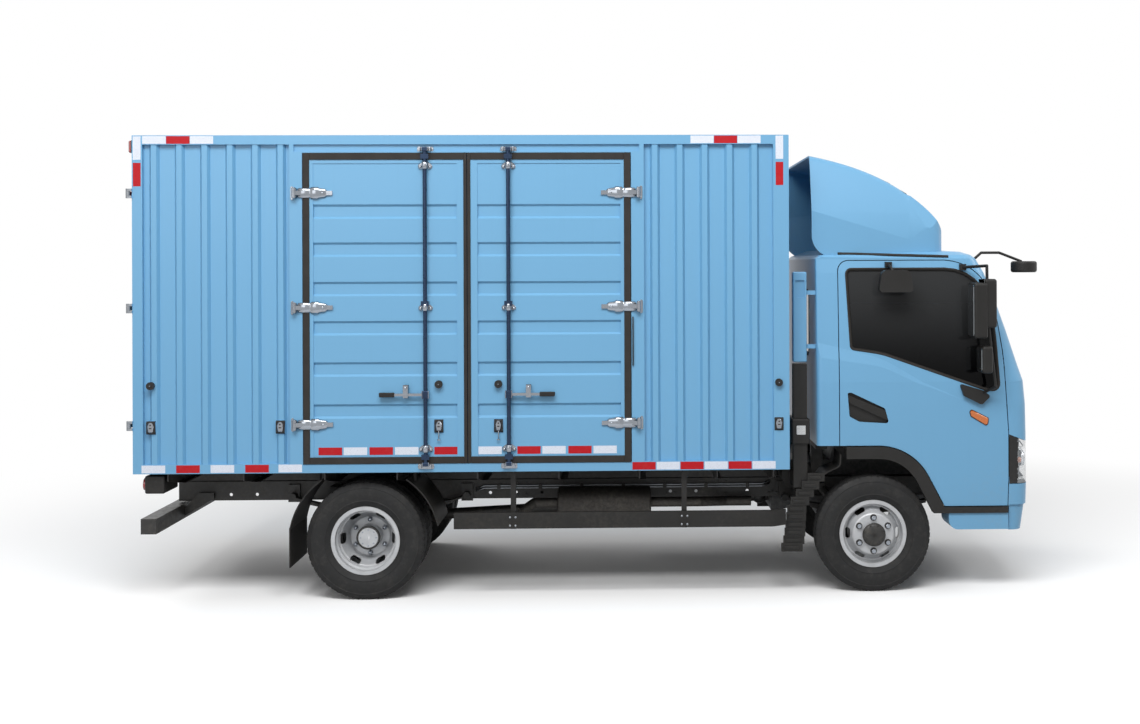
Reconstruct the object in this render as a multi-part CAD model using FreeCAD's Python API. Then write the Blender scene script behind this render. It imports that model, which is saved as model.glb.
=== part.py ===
import FreeCAD, Part
import math
import os

# A box truck with its cab over the front axle.
# Units are millimetres. +X points to the front, +Y to the left side, +Z up.
# The ground is Z = 0 and the middle of the overall length is X = 0.

# Overall layout
WHEELBASE = 3360.0
FRONT_REACH = 1143.0  # front axle to the rim of the front view mirror
REAR_REACH = 1520.0  # rear axle to the back of the rear door hinges
REAR_AXLE_X = -(WHEELBASE + FRONT_REACH - REAR_REACH) / 2
FRONT_AXLE_X = REAR_AXLE_X + WHEELBASE
SEAT_GAP = 0.3  # air where one piece of the same body is seated on another

# Wheels
TYRE_RADIUS = 387.0
TYRE_WIDTH = 200.0
TREAD_WIDTH = 156.0
RIM_FLANGE_RADIUS = 225.0
RIM_SEAT_RADIUS = 206.0
RIM_WIDTH = 160.0
RIM_SHEET = 7.0
RIM_WELL_DEPTH = 13.0
DISC_THICKNESS = 11.0
TYRE_FIT = 0.4  # air between tyre bead and rim seat
AXLE_Z = TYRE_RADIUS
FRONT_WHEEL_Y = 835.0
REAR_OUTER_WHEEL_Y = 935.0
TWIN_SPACING = 265.0
REAR_INNER_WHEEL_Y = REAR_OUTER_WHEEL_Y - TWIN_SPACING
REAR_DISC_Y = (REAR_OUTER_WHEEL_Y + REAR_INNER_WHEEL_Y) / 2
FRONT_DISC_Y = FRONT_WHEEL_Y + 98.0
WHEEL_SLOTS = 6
SLOT_LENGTH = 73.0
SLOT_WIDTH = 28.0
SLOT_CIRCLE_RADIUS = 166.0
STUD_CIRCLE_RADIUS = 111.0
STUD_RADIUS = 11.0
HUB_RADIUS = 80.0
HUB_LENGTH = 60.0  # behind the mounting face
FRONT_CAP_LENGTH = 26.0
REAR_HUB_REACH = 110.0

# Ladder frame
RAIL_HALF_SPREAD = 375.0  # outer face of a rail from the middle plane
RAIL_BOTTOM_Z = 558.0
RAIL_HEIGHT = 140.0
RAIL_FLANGE = 62.0
RAIL_SHEET = 7.0
RAIL_TOP_Z = RAIL_BOTTOM_Z + RAIL_HEIGHT
RAIL_REAR_X = REAR_AXLE_X - 1400.0
RAIL_FRONT_X = FRONT_AXLE_X + 890.0
RAIL_HOLE_RADIUS = 11.0
RAIL_HOLE_PITCH = 180.0
CROSSMEMBER_DEPTH = 70.0
CROSSMEMBER_SHEET = 6.0
CROSSMEMBER_PLAY = 8.0  # from rail flange to crossmember
CROSSMEMBER_STATIONS = (RAIL_REAR_X + 45, REAR_AXLE_X - 640, REAR_AXLE_X + 640, REAR_AXLE_X + 1500,
                        REAR_AXLE_X + 2440, RAIL_FRONT_X - 60)
HITCH_Z = RAIL_BOTTOM_Z + RAIL_HEIGHT / 2
HITCH_SPACING_Y = 160.0
HITCH_SPACING_Z = 56.0
HITCH_HOLE_RADIUS = 8.5

# Load box
BOX_LENGTH = 4263.0
BOX_REAR_X = REAR_AXLE_X - 1480.0
BOX_FRONT_X = BOX_REAR_X + BOX_LENGTH
BOX_HALF_WIDTH = 1100.0
BOX_BOTTOM_Z = 846.0
BOX_TOP_Z = 3040.0
FLOOR_THICKNESS = 55.0
FLOOR_TOP_Z = BOX_BOTTOM_Z + FLOOR_THICKNESS
WALL_THICKNESS = 42.0
BOX_INSIDE_Y = BOX_HALF_WIDTH - WALL_THICKNESS
SIDE_RAIL_HEIGHT = 60.0
PANEL_LOW_Z = BOX_BOTTOM_Z + SIDE_RAIL_HEIGHT
PANEL_HIGH_Z = BOX_TOP_Z - SIDE_RAIL_HEIGHT
REAR_POST_WIDTH = 66.0
FRONT_POST_WIDTH = 103.0
WALL_REAR_X = BOX_REAR_X + REAR_POST_WIDTH
WALL_FRONT_X = BOX_FRONT_X - FRONT_POST_WIDTH
SILL_TOP_Z = RAIL_TOP_Z + 48.0
BEARER_STATIONS = (-1250, -760, -235, 235, 760, 1290, 1820, 2330, 2700)  # from the rear axle
BEARER_WIDTH = 48.0
BEARER_SHEET = 7.0
RIDGE_PITCH = 163.0
RIDGE_TOP = 34.0
RIDGE_FOOT = 66.0
RIDGE_DEPTH = 24.0
RIDGE_SET_BACK = 5.0  # ridge top behind the face of the rails
FIRST_RIDGE = 72.0
ROOF_THICKNESS = 38.0
ROOF_RIB_HEIGHT = 8.0
ROOF_RIB_WIDTH = 90.0
ROOF_RIBS = 7

# Side doors of the load box, right side
SIDE_DOOR_REAR_X = REAR_AXLE_X - 380.0
SIDE_DOOR_FRONT_X = REAR_AXLE_X + 1743.0
SIDE_DOOR_MIDDLE_X = (SIDE_DOOR_REAR_X + SIDE_DOOR_FRONT_X) / 2 - 1.0
SIDE_DOOR_TOP_Z = 2920.0
JAMB_WIDTH = 84.0
DRIP_RECESS = 16.0
DRIP_LOW_Z = 2934.0
DOOR_GAP = 6.0
DOOR_THICKNESS = 40.0
DOOR_RIM = 64.0
DOOR_FOOT = 26.0
DOOR_PANEL_DEPTH = 5.0
CHANNEL_HEIGHT = 96.0
CHANNEL_FLOOR = 66.0
CHANNEL_DEPTH = 13.0
CHANNEL_HEIGHTS_Z = (1244.0, 1517.0, 1785.0, 2040.0, 2296.0, 2543.0)

# Rear doors of the load box
REAR_DOOR_BOTTOM_Z = 921.0
REAR_DOOR_TOP_Z = 2946.0
REAR_DOOR_WIDTH = BOX_HALF_WIDTH - REAR_POST_WIDTH - 1.5 * DOOR_GAP

# Hinges of the load box doors
HINGE_HEIGHTS_Z = (1160.0, 1920.0, 2664.0)
HINGE_HEIGHT = 62.0
HINGE_FORK_HEIGHT = 16.0
HINGE_AIR = 1.0
HINGE_PIN_RADIUS = 8.0
HINGE_BARREL_RADIUS = 14.0
HINGE_PLAY = 0.6
HINGE_STRAP_HEIGHT = HINGE_HEIGHT - 2 * HINGE_FORK_HEIGHT - 2 * HINGE_AIR
SIDE_HINGE_OFFSET = 54.0  # hinge pin beyond the door edge
SIDE_HINGE_OUT = 30.0  # hinge pin outside the box face
REAR_HINGE_BACK = 24.0  # hinge pin behind the rear face
REAR_HINGE_OUT = 4.0  # hinge pin outside the side face
REAR_HINGE_X = BOX_REAR_X - REAR_HINGE_BACK
REAR_HINGE_Y = -BOX_HALF_WIDTH - REAR_HINGE_OUT
STRAP_LENGTH = 190.0
STRAP_THICKNESS = 7.0

# Locks, stops and catches
LOCK_ROD_RADIUS = 13.0
LOCK_ROD_OUT = 22.0  # rod axis outside the door face
LOCK_GUIDE_HALF = 26.0
LOCK_CAM_HEIGHT = 26.0
LOCK_ROD_PAST_DOOR = 40.0
SIDE_ROD_REAR_X = REAR_AXLE_X + 410.0
SIDE_ROD_FRONT_X = REAR_AXLE_X + 950.0
REAR_ROD_Y = 250.0
LEVER_Z = 1352.0
LEVER_LENGTH = 300.0
GRIP_LENGTH = 100.0
KEEPER_REACH = 128.0
STOP_RADIUS = 25.0
STOP_LENGTH = 26.0
STOP_Z = 1418.0
STOP_FROM_REAR = 118.0
STOP_FROM_FRONT = 70.0
CATCH_Z = 1146.0
CATCH_WIDTH = 58.0
CATCH_HEIGHT = 86.0
CATCH_DEPTH = 9.0
CATCH_REAR_X = SIDE_DOOR_REAR_X - 150.0
HANDLE_RADIUS = 9.0
HANDLE_OUT = 30.0  # bar axis outside the door face
HANDLE_LOW_Z = 1540.0
HANDLE_HIGH_Z = 1840.0
HANDLE_FROM_EDGE = 240.0

# Axles and springs
SPRING_Y = 420.0
SPRING_WIDTH = 70.0
SPRING_LEAF = 11.0
SPRING_EYE_RADIUS = 24.0
REAR_SPRING_HALF = 600.0
REAR_SPRING_RISE = 92.0
REAR_SPRING_LEAVES = 5
REAR_SPRING_SEAT_Z = AXLE_Z + 58.0
FRONT_SPRING_HALF = 540.0
FRONT_SPRING_RISE = 70.0
FRONT_SPRING_LEAVES = 4
FRONT_SPRING_SEAT_Z = AXLE_Z + 60.0
AXLE_TUBE_RADIUS = 52.0
DIFFERENTIAL_RADIUS = 148.0
DIFFERENTIAL_NOSE = 280.0
DRUM_RADIUS = 150.0
KING_PIN_Y = 700.0
KING_EYE_RADIUS = 34.0
KING_EYE_HALF = 42.0
KNUCKLE_AIR = 0.4
BEAM_HALF = 34.0
SHOCK_Y = 510.0
SHOCK_LEAN_X = 300.0
SHOCK_TOP_Z = 640.0
SHOCK_RADIUS = 30.0
FRONT_HUB_BACK_Y = FRONT_DISC_Y - HUB_LENGTH

# Engine and drive
ENGINE_REAR_X = FRONT_AXLE_X - 620.0
ENGINE_FRONT_X = FRONT_AXLE_X + 560.0
ENGINE_BOTTOM_Z = 500.0
ENGINE_TOP_Z = 1040.0
ENGINE_HALF_WIDTH = 250.0
SHAFT_Z = 510.0
SHAFT_RADIUS = 38.0

# Guards, tank and boxes on the frame
GUARD_REAR_X = REAR_AXLE_X + 583.0
GUARD_FRONT_X = REAR_AXLE_X + 2768.0
GUARD_LOW_Z = 466.0
GUARD_HIGH_Z = 572.0
GUARD_Y = 1062.0
GUARD_THICKNESS = 28.0
GUARD_HANGERS_X = (REAR_AXLE_X + 970.0, REAR_AXLE_X + 2092.0)
UNDERRUN_X = REAR_AXLE_X - 1400.0
UNDERRUN_SIZE = 100.0
UNDERRUN_LOW_Z = 446.0
UNDERRUN_HALF_WIDTH = 1040.0
MUDGUARD_RADIUS = 486.0
MUDGUARD_SHEET = 7.0
MUDGUARD_OUTER_Y = 1058.0
MUDGUARD_INNER_Y = 540.0
FLAP_BOTTOM_Z = 222.0
TANK_REAR_X = REAR_AXLE_X + 1560.0
TANK_LENGTH = 920.0
TANK_DEPTH = 440.0
TANK_LOW_Z = 400.0
TANK_HIGH_Z = 720.0
TANK_CORNER = 46.0
TANK_STRAP_INSET = 180.0
TANK_STRAP_HALF = 22.0
FILLER_X = REAR_AXLE_X + 2075.0  # between two bearers
FILLER_RADIUS = 38.0
FILLER_HEIGHT = 30.0
BATTERY_REAR_X = REAR_AXLE_X + 960.0
BATTERY_LENGTH = 460.0
SILENCER_REAR_X = REAR_AXLE_X + 1240.0
SILENCER_LENGTH = 640.0
SILENCER_RADIUS = 108.0
SILENCER_Z = 556.0
PIPE_RADIUS = 34.0
DUCT_X_FROM_CAB = 108.0
DUCT_Y = 880.0
DUCT_LENGTH = 92.0
DUCT_WIDTH = 80.0
DUCT_SPLIT_Z = 1536.0
DUCT_SPLIT_GAP = 12.0
DUCT_TOP_Z = 2140.0
TAIL_LAMP_RADIUS = 40.0

# Cab
CAB_REAR_X = REAR_AXLE_X + 2982.0
CAB_HALF_WIDTH = 960.0
CAB_SHEET = 48.0
CAB_REAR_CORNER = 36.0
CAB_SKIRT_Z = 410.0
CAB_SILL_Z = 575.0
CAB_FLOOR_Z = 981.0  # underside of the floor behind the wheel arches
CAB_FLOOR_SHEET = 40.0
CAB_PANEL_X = REAR_AXLE_X + 4268.0  # joint between the doors and the front panels
LAMP_BOTTOM_Z = 719.0
LAMP_TOP_Z = 1048.0
LAMP_INNER_Y = 540.0
BELT_Z = 1403.0
ROOF_EDGE_Z = 2225.0
ROOF_TOP_Z = 2290.0
ROOF_STEPS = ((0, 0), (24, 26), (46, 84), (ROOF_TOP_Z - ROOF_EDGE_Z, 300))  # rise, drawn in
TUNNEL_HALF_WIDTH = 330.0
TUNNEL_TOP_Z = 1100.0
TUNNEL_FRONT_X = FRONT_AXLE_X + 700.0
TUNNEL_SHEET = 32.0
RAIL_ROOM_HALF_WIDTH = 480.0
RAIL_ROOM_TOP_Z = 742.0
WINDSCREEN_LOW_Z = 1448.0
WINDSCREEN_HIGH_Z = 2170.0
GLASS_SET_BACK = 14.0
GLASS_THICKNESS = 6.0
BELT_CREASE_DEPTH = 14.0  # at the rear corner of the cab
BELT_CREASE_SLOPE = 4.8  # height gained for each millimetre of depth
BELT_FADE_X = REAR_AXLE_X + 3960.0  # where the crease has faded out
BELT_CREASE = (  # side view line of the crease at the widest width of the cab
    (CAB_REAR_X - 60, 1516), (REAR_AXLE_X + 3420, 1468, 900), (CAB_PANEL_X + 40, 1158),
)
NOSE_X = FRONT_AXLE_X + 1200.0  # a plane ahead of the whole cab
LAMP_AIR = 4.0
LAMP_TOP_SLOPE = 0.4
GRILLE_HALF_WIDTH = 480.0
GRILLE_LOW_Z = 790.0
GRILLE_HIGH_Z = 1010.0
GRILLE_BARS = 5
BUMPER_SHEET = 42.0
BUMPER_STEP = 12.0
BUMPER_STEP_Z = 581.0
FOG_LAMP_Y = 690.0
FOG_LAMP_Z = 506.0
FOG_LAMP_RADIUS = 46.0
SILL_STRIP_LOW_Z = 528.4
FLARE_LIP = 30.0
FLARE_OUT = 12.0
FLARE_WIDTH = 88.0
CAB_REST_AIR = 5.5

# Cab tilt pivot
PIVOT_X = FRONT_AXLE_X + 860.0
PIVOT_Z = 640.0
PIVOT_PIN_RADIUS = 15.0
PIVOT_PLAY = 0.6
LUG_RADIUS = 27.0
LUG_INNER_Y = 392.0
LUG_OUTER_Y = 428.0

# Wheel arch of the cab, a level run, a round and a slanted run down to the sill
ARCH_REAR_X = REAR_AXLE_X + 3176.0
ARCH_CORNER_X = REAR_AXLE_X + 3620.0
ARCH_FOOT_X = REAR_AXLE_X + 3834.0
ARCH_RADIUS = 380.0
ARCH_LEAN = math.atan2(CAB_FLOOR_Z - CAB_SILL_Z, ARCH_FOOT_X - ARCH_CORNER_X)

# Cab doors
CAB_DOOR_GAP = 6.0
CAB_DOOR_REACH = 150.0  # how far the door wraps inwards from the widest side
CAB_DOOR_TOP_Z = 2212.0
CAB_DOOR_REAR_X = REAR_AXLE_X + 3135.0

# Wind deflector, its side view from the rear axle
DEFLECTOR_CROWN = ((2963, 2930), (3443, 2780), (3718, 2599), (3864, 2424), (3896, 2262))
DEFLECTOR_LOW_Z = 2240.0
DEFLECTOR_BEND = 144.0
DEFLECTOR_SHEET = 12.0
DEFLECTOR_HALF_WIDTH = 860.0
DEFLECTOR_NOSE_HALF_WIDTH = 792.0
DEFLECTOR_CREASE_Z = 2560.0
DEFLECTOR_CREASE_FALL = 0.147
DEFLECTOR_LEAN = 0.32

# Seats and dashboard
DRIVER_Y = 430.0
SEAT_SPANS_Y = ((380.0, 880.0), (-880.0, -350.0), (-340.0, 330.0))
CUSHION_HEIGHT = 130.0
STEERING_RIM_RADIUS = 215.0
STEERING_RIM_WIRE = 14.0

# Mirrors
MIRROR_TUBE_RADIUS = 10.0
MIRROR_EDGE = 18.0
MIRROR_Y = 1090.0


# Small helpers for profiles and solids

def vec(x, y, z):
    return FreeCAD.Vector(x, y, z)


def block(x0, x1, y0, y1, z0, z1):
    return Part.makeBox(x1 - x0, y1 - y0, z1 - z0, vec(x0, y0, z0))


def soft_block(x0, x1, y0, y1, z0, z1, radius):
    """Block with all its edges rounded."""
    solid = block(x0, x1, y0, y1, z0, z1)
    return solid.makeFillet(radius, solid.Edges)


def corner_cut(before, corner, after, radius):
    """Start, middle and end of the arc that rounds a corner."""
    back = (before - corner).normalize()
    ahead = (after - corner).normalize()
    half = back.getAngle(ahead) / 2
    reach = radius / math.tan(half)
    inwards = (back + ahead).normalize()
    middle = corner + inwards * (radius / math.sin(half) - radius)
    return corner + back * reach, middle, corner + ahead * reach


def outline_wire(corners, place):
    """Closed wire through (a, b) corners; a third value rounds a corner to that radius."""
    points = [place(c[0], c[1]) for c in corners]
    runs = []
    for i, corner in enumerate(corners):
        before, after = points[i - 1], points[(i + 1) % len(points)]
        if len(corner) > 2:
            runs.append(corner_cut(before, points[i], after, corner[2]))
        else:
            runs.append((points[i],))
    edges = []
    for i, run in enumerate(runs):
        if len(run) == 3:
            edges.append(Part.Arc(*run).toShape())
        following = runs[(i + 1) % len(runs)][0]
        if run[-1].distanceToPoint(following) > 0.01:
            edges.append(Part.makeLine(run[-1], following))
    return Part.Wire(edges)


def grown(corners, grow):
    """The same outline with every side moved outwards by grow."""
    points = [vec(c[0], c[1], 0) for c in corners]
    count = len(points)
    turning = math.copysign(1, sum(points[i - 1].cross(points[i]).z for i in range(count)))
    result = []
    for i, corner in enumerate(corners):
        before = (points[i] - points[i - 1]).normalize()
        after = (points[(i + 1) % count] - points[i]).normalize()
        first, second = vec(before.y, -before.x, 0), vec(after.y, -after.x, 0)
        shift = (first + second) * (turning * grow / (1 + first.dot(second)))
        place = (points[i].x + shift.x, points[i].y + shift.y)
        if len(corner) > 2:
            convex = math.copysign(1, turning * before.cross(after).z)
            place += (max(corner[2] + convex * grow, 1),)
        result.append(place)
    return result


def side_wire(corners, y):
    return outline_wire(corners, lambda x, z: vec(x, y, z))


def side_prism(corners, y0, y1):
    """Solid from an (x, z) outline, between two side planes."""
    return Part.Face(side_wire(corners, y0)).extrude(vec(0, y1 - y0, 0))


def plan_prism(corners, z0, z1):
    """Solid from an (x, y) outline, between two heights."""
    face = Part.Face(outline_wire(corners, lambda x, y: vec(x, y, z0)))
    return face.extrude(vec(0, 0, z1 - z0))


def cross_prism(corners, x0, x1):
    """Solid from a (y, z) outline, between two stations along the length."""
    face = Part.Face(outline_wire(corners, lambda y, z: vec(x0, y, z)))
    return face.extrude(vec(x1 - x0, 0, 0))


def rod(start, end, radius):
    a = vec(*start)
    span = vec(*end) - a
    return Part.makeCylinder(radius, span.Length, a, span)


def cross_rod(x, y0, y1, z, radius):
    return rod((x, y0, z), (x, y1, z), radius)


def bent_rod(points, radius):
    """Round bar along straight runs, with a ball at each bend."""
    runs = [rod(a, b, radius) for a, b in zip(points, points[1:])]
    balls = [Part.makeSphere(radius, vec(*p)) for p in points[1:-1]]
    return join(runs + balls)


def join(solids):
    if len(solids) == 1:
        return solids[0]
    return solids[0].multiFuse(solids[1:]).removeSplitter()


def mirrored(shape):
    return shape.mirror(vec(0, 0, 0), vec(0, 1, 0))


def pair(shape):
    return Part.makeCompound([shape, mirrored(shape)])


def both_sides(solids):
    return solids + [mirrored(s) for s in solids]


def moved(shape, x=0.0, y=0.0, z=0.0):
    copy = shape.copy()
    copy.translate(vec(x, y, z))
    return copy


def turned_profile(corners, centre_x, side):
    """Ring from (radius, y) corners, turned about a wheel axis; side is +1 or -1."""
    wire = outline_wire(corners, lambda r, y: vec(centre_x, side * y, AXLE_Z + r))
    return Part.Face(wire).revolve(vec(centre_x, 0, AXLE_Z), vec(0, 1, 0), 360)


# Wheels and tyres

def tyre_profile(middle_y):
    """Section of one tyre as (radius, y) corners, seen from the wheel axis."""
    half = TYRE_WIDTH / 2
    tread = TREAD_WIDTH / 2
    bead = RIM_SEAT_RADIUS + TYRE_FIT
    height = TYRE_RADIUS - bead
    foot = RIM_WIDTH / 2 - RIM_SHEET - 1
    outline = [
        (bead, foot),
        (bead + 0.16 * height, foot),
        (bead + 0.36 * height, half - 4),
        (bead + 0.52 * height, half, 60),
        (bead + 0.72 * height, half - 5),
        (TYRE_RADIUS - 14, tread + 8),
        (TYRE_RADIUS - 3, tread - 6),
        (TYRE_RADIUS, tread - 34),
    ]
    left = [(c[0], middle_y + c[1]) + c[2:] for c in outline]
    right = [(c[0], middle_y - c[1]) + c[2:] for c in reversed(outline)]
    return left + right


def tyre(x, middle_y, side):
    return turned_profile(tyre_profile(middle_y), x, side)


def rim_barrel_profile(middle_y):
    """Sheet section of the rim: flanges, bead seats and the well between them."""
    half = RIM_WIDTH / 2
    seat = RIM_SEAT_RADIUS
    well = seat - RIM_WELL_DEPTH
    outer = [
        (RIM_FLANGE_RADIUS, half),
        (RIM_FLANGE_RADIUS, half - RIM_SHEET),
        (seat, half - RIM_SHEET),
        (seat, half - 42),
        (well, half - 56),
        (well, -half + 56),
        (seat, -half + 42),
        (seat, -half + RIM_SHEET),
        (RIM_FLANGE_RADIUS, -half + RIM_SHEET),
        (RIM_FLANGE_RADIUS, -half),
    ]
    inner = [
        (seat - RIM_SHEET, -half),
        (seat - RIM_SHEET, -half + 40),
        (well - RIM_SHEET, -half + 54),
        (well - RIM_SHEET, half - 54),
        (seat - RIM_SHEET, half - 40),
        (seat - RIM_SHEET, half),
    ]
    return [(r, middle_y + y) for r, y in outer + inner]


def rim_disc_profile(rim_y, face_y):
    """Dished disc from the rim well to the mounting face at the hub."""
    edge = RIM_SEAT_RADIUS - RIM_WELL_DEPTH - RIM_SHEET
    thick = math.copysign(DISC_THICKNESS, face_y - rim_y)
    crown = STUD_CIRCLE_RADIUS + 26
    bore = HUB_RADIUS - 8
    return [
        (edge + 1, rim_y - thick),
        (edge + 1, rim_y + thick),
        (edge - 10, rim_y + thick, 8),
        (crown, face_y, 22),
        (bore, face_y),
        (bore, face_y - thick),
        (crown - 3, face_y - thick, 16),
        (edge - 12, rim_y - thick, 8),
    ]


def wheel_slots(x, side, y0, y1):
    """Round-ended openings in the disc, evenly spaced."""
    half = SLOT_LENGTH / 2
    low, high = SLOT_CIRCLE_RADIUS - SLOT_WIDTH / 2, SLOT_CIRCLE_RADIUS + SLOT_WIDTH / 2
    end = SLOT_WIDTH / 2 - 0.1
    cuts = []
    for i in range(WHEEL_SLOTS):
        corners = [(-half, low, end), (half, low, end), (half, high, end), (-half, high, end)]
        slot = side_prism(corners, y0, y1)
        slot.rotate(vec(0, 0, 0), vec(0, 1, 0), (i + 0.5) * 360.0 / WHEEL_SLOTS)
        cuts.append(moved(slot, x=x, z=AXLE_Z))
    cutter = cuts[0].multiFuse(cuts[1:])
    return cutter if side > 0 else mirrored(cutter)


def wheel_studs(x, y0, y1, side):
    """Nuts on the stud circle."""
    studs = []
    for i in range(WHEEL_SLOTS):
        a = math.radians(i * 360.0 / WHEEL_SLOTS)
        sx = x + STUD_CIRCLE_RADIUS * math.sin(a)
        sz = AXLE_Z + STUD_CIRCLE_RADIUS * math.cos(a)
        studs.append(cross_rod(sx, side * y0, side * y1, sz, STUD_RADIUS))
    return studs


def front_wheel(side):
    """Front rim with its outward dished disc, hub and cap."""
    x = FRONT_AXLE_X
    face = FRONT_DISC_Y
    barrel = turned_profile(rim_barrel_profile(FRONT_WHEEL_Y), x, side)
    disc = turned_profile(rim_disc_profile(FRONT_WHEEL_Y + 16, face), x, side)
    disc = disc.cut(wheel_slots(x, side, FRONT_WHEEL_Y, face + 10))
    neck = HUB_RADIUS - 6
    hub = turned_profile([(0, face - HUB_LENGTH), (neck, face - HUB_LENGTH), (neck, face + 6),
                          (neck - 10, face + FRONT_CAP_LENGTH - 4, 8), (0, face + FRONT_CAP_LENGTH)], x, side)
    studs = wheel_studs(x, face - 14, face + 16, side)
    return join([barrel, disc, hub] + studs)


def rear_wheels(side):
    """Twin rear rims, discs back to back on one hub."""
    x = REAR_AXLE_X
    face = REAR_DISC_Y
    outer = turned_profile(rim_barrel_profile(REAR_OUTER_WHEEL_Y), x, side)
    inner = turned_profile(rim_barrel_profile(REAR_INNER_WHEEL_Y), x, side)
    dish = turned_profile(rim_disc_profile(REAR_OUTER_WHEEL_Y - 10, face + 1), x, side)
    dish = dish.cut(wheel_slots(x, side, face - 20, REAR_OUTER_WHEEL_Y + 20))
    back = turned_profile(rim_disc_profile(REAR_INNER_WHEEL_Y + 10, face - 1), x, side)
    back_end, front_end = face - HUB_LENGTH, face + REAR_HUB_REACH
    hub = turned_profile([(0, back_end), (HUB_RADIUS, back_end), (HUB_RADIUS, front_end - 22),
                          (HUB_RADIUS - 12, front_end - 6, 10), (0, front_end)], x, side)
    studs = wheel_studs(x, face - 12, face + 36, side)
    return join([outer, inner, dish, back, hub] + studs)


def front_tyre(side):
    return tyre(FRONT_AXLE_X, FRONT_WHEEL_Y, side)


def rear_tyres(side):
    return Part.makeCompound([
        tyre(REAR_AXLE_X, REAR_OUTER_WHEEL_Y, side),
        tyre(REAR_AXLE_X, REAR_INNER_WHEEL_Y, side),
    ])


# Ladder frame

def rail_holes():
    """Row of round holes along the web of the right rail, clear of the crossmembers."""
    cuts = []
    web = -RAIL_HALF_SPREAD
    z = RAIL_BOTTOM_Z + RAIL_HEIGHT * 0.3
    x = RAIL_REAR_X + RAIL_HOLE_PITCH
    keep = CROSSMEMBER_DEPTH / 2 + 3 * RAIL_HOLE_RADIUS
    while x < PIVOT_X - 100:
        if all(abs(x - station) > keep for station in CROSSMEMBER_STATIONS):
            cuts.append(cross_rod(x, web - 1, web + RAIL_SHEET + 1, z, RAIL_HOLE_RADIUS))
        x += RAIL_HOLE_PITCH
    return Part.makeCompound(cuts)


def tilt_pin():
    """Pin on the right rail that carries one lug of the cab, with a collar outside it."""
    pin = cross_rod(PIVOT_X, -RAIL_HALF_SPREAD + 2, -LUG_OUTER_Y - 4, PIVOT_Z, PIVOT_PIN_RADIUS)
    collar = cross_rod(PIVOT_X, -LUG_OUTER_Y - SEAT_GAP, -LUG_OUTER_Y - 8, PIVOT_Z, PIVOT_PIN_RADIUS + 8)
    return [pin, collar]


def frame_rails():
    """C shaped rails, open inwards."""
    out = RAIL_HALF_SPREAD
    web = out - RAIL_SHEET
    lip = out - RAIL_FLANGE
    low, high = RAIL_BOTTOM_Z, RAIL_TOP_Z
    channel = cross_prism([
        (-out, low, 10), (-lip, low), (-lip, low + RAIL_SHEET), (-web, low + RAIL_SHEET),
        (-web, high - RAIL_SHEET), (-lip, high - RAIL_SHEET), (-lip, high), (-out, high, 10),
    ], RAIL_REAR_X, RAIL_FRONT_X)
    return pair(join([channel.cut(rail_holes())] + tilt_pin()))


def hitch_bores():
    """Four bores through the web of the last crossmember."""
    x = CROSSMEMBER_STATIONS[0] - CROSSMEMBER_DEPTH / 2
    bores = []
    for y in (-HITCH_SPACING_Y / 2, HITCH_SPACING_Y / 2):
        for z in (HITCH_Z - HITCH_SPACING_Z / 2, HITCH_Z + HITCH_SPACING_Z / 2):
            bores.append(rod((x - 1, y, z), (x + CROSSMEMBER_SHEET + 2, y, z), HITCH_HOLE_RADIUS))
    return Part.makeCompound(bores)


def cab_rest():
    """Portal on the rails behind the cab that carries its tail when it is down."""
    x = CAB_REAR_X + 70
    half, top = 40, CAB_FLOOR_Z - 22
    post = block(x - half, x + half, -RAIL_HALF_SPREAD, -RAIL_HALF_SPREAD + RAIL_FLANGE, RAIL_TOP_Z, top - 20)
    pad = block(x - half + 6, x + half - 6, -590, -490, top - 1, CAB_FLOOR_Z - CAB_REST_AIR)
    beam = block(x - half, x + half, -620, 620, top - 40, top)
    return join(both_sides([post, pad]) + [beam])


def frame_crossmembers():
    """Hollow cross tubes between the webs of the rails, and the portal for the cab."""
    low = RAIL_BOTTOM_Z + RAIL_SHEET + CROSSMEMBER_PLAY
    high = RAIL_TOP_Z - RAIL_SHEET - CROSSMEMBER_PLAY
    half = RAIL_HALF_SPREAD - RAIL_SHEET
    depth, sheet = CROSSMEMBER_DEPTH / 2, CROSSMEMBER_SHEET
    tubes = []
    for x in CROSSMEMBER_STATIONS:
        outer = block(x - depth, x + depth, -half, half, low, high)
        inner = block(x - depth + sheet, x + depth - sheet, -half, half, low + sheet, high - sheet)
        tubes.append(outer.cut(inner))
    tubes[0] = tubes[0].cut(hitch_bores())
    return Part.makeCompound(tubes + [cab_rest()])


# Floor and walls of the load box

def box_bearers():
    """Long sills on the rails and the cross bearers that carry the floor."""
    sill = block(BOX_REAR_X + 60, BOX_FRONT_X - 20, -RAIL_HALF_SPREAD, -RAIL_HALF_SPREAD + RAIL_FLANGE,
                 RAIL_TOP_Z, SILL_TOP_Z)
    reach = BOX_INSIDE_Y - 8
    low, high, half, sheet = SILL_TOP_Z, BOX_BOTTOM_Z, BEARER_WIDTH / 2, BEARER_SHEET
    bearers = both_sides([sill])
    for offset in BEARER_STATIONS:
        x = REAR_AXLE_X + offset
        back, front, web = x - half, x + half, x - half + sheet
        channel = [(back, low), (front, low), (front, low + sheet), (web, low + sheet),
                   (web, high - sheet), (front, high - sheet), (front, high), (back, high)]
        taper = cross_prism([(reach - 260, low - 1), (reach + 1, low - 1), (reach + 1, low + 46)],
                            x - half - 1, x + half + 1)
        bearers.append(side_prism(channel, -reach, reach).cut(Part.makeCompound(both_sides([taper]))))
    return Part.makeCompound(bearers)


def box_floor():
    return block(WALL_REAR_X, BOX_FRONT_X - WALL_THICKNESS, -BOX_INSIDE_Y, BOX_INSIDE_Y,
                 BOX_BOTTOM_Z, FLOOR_TOP_Z)


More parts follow.
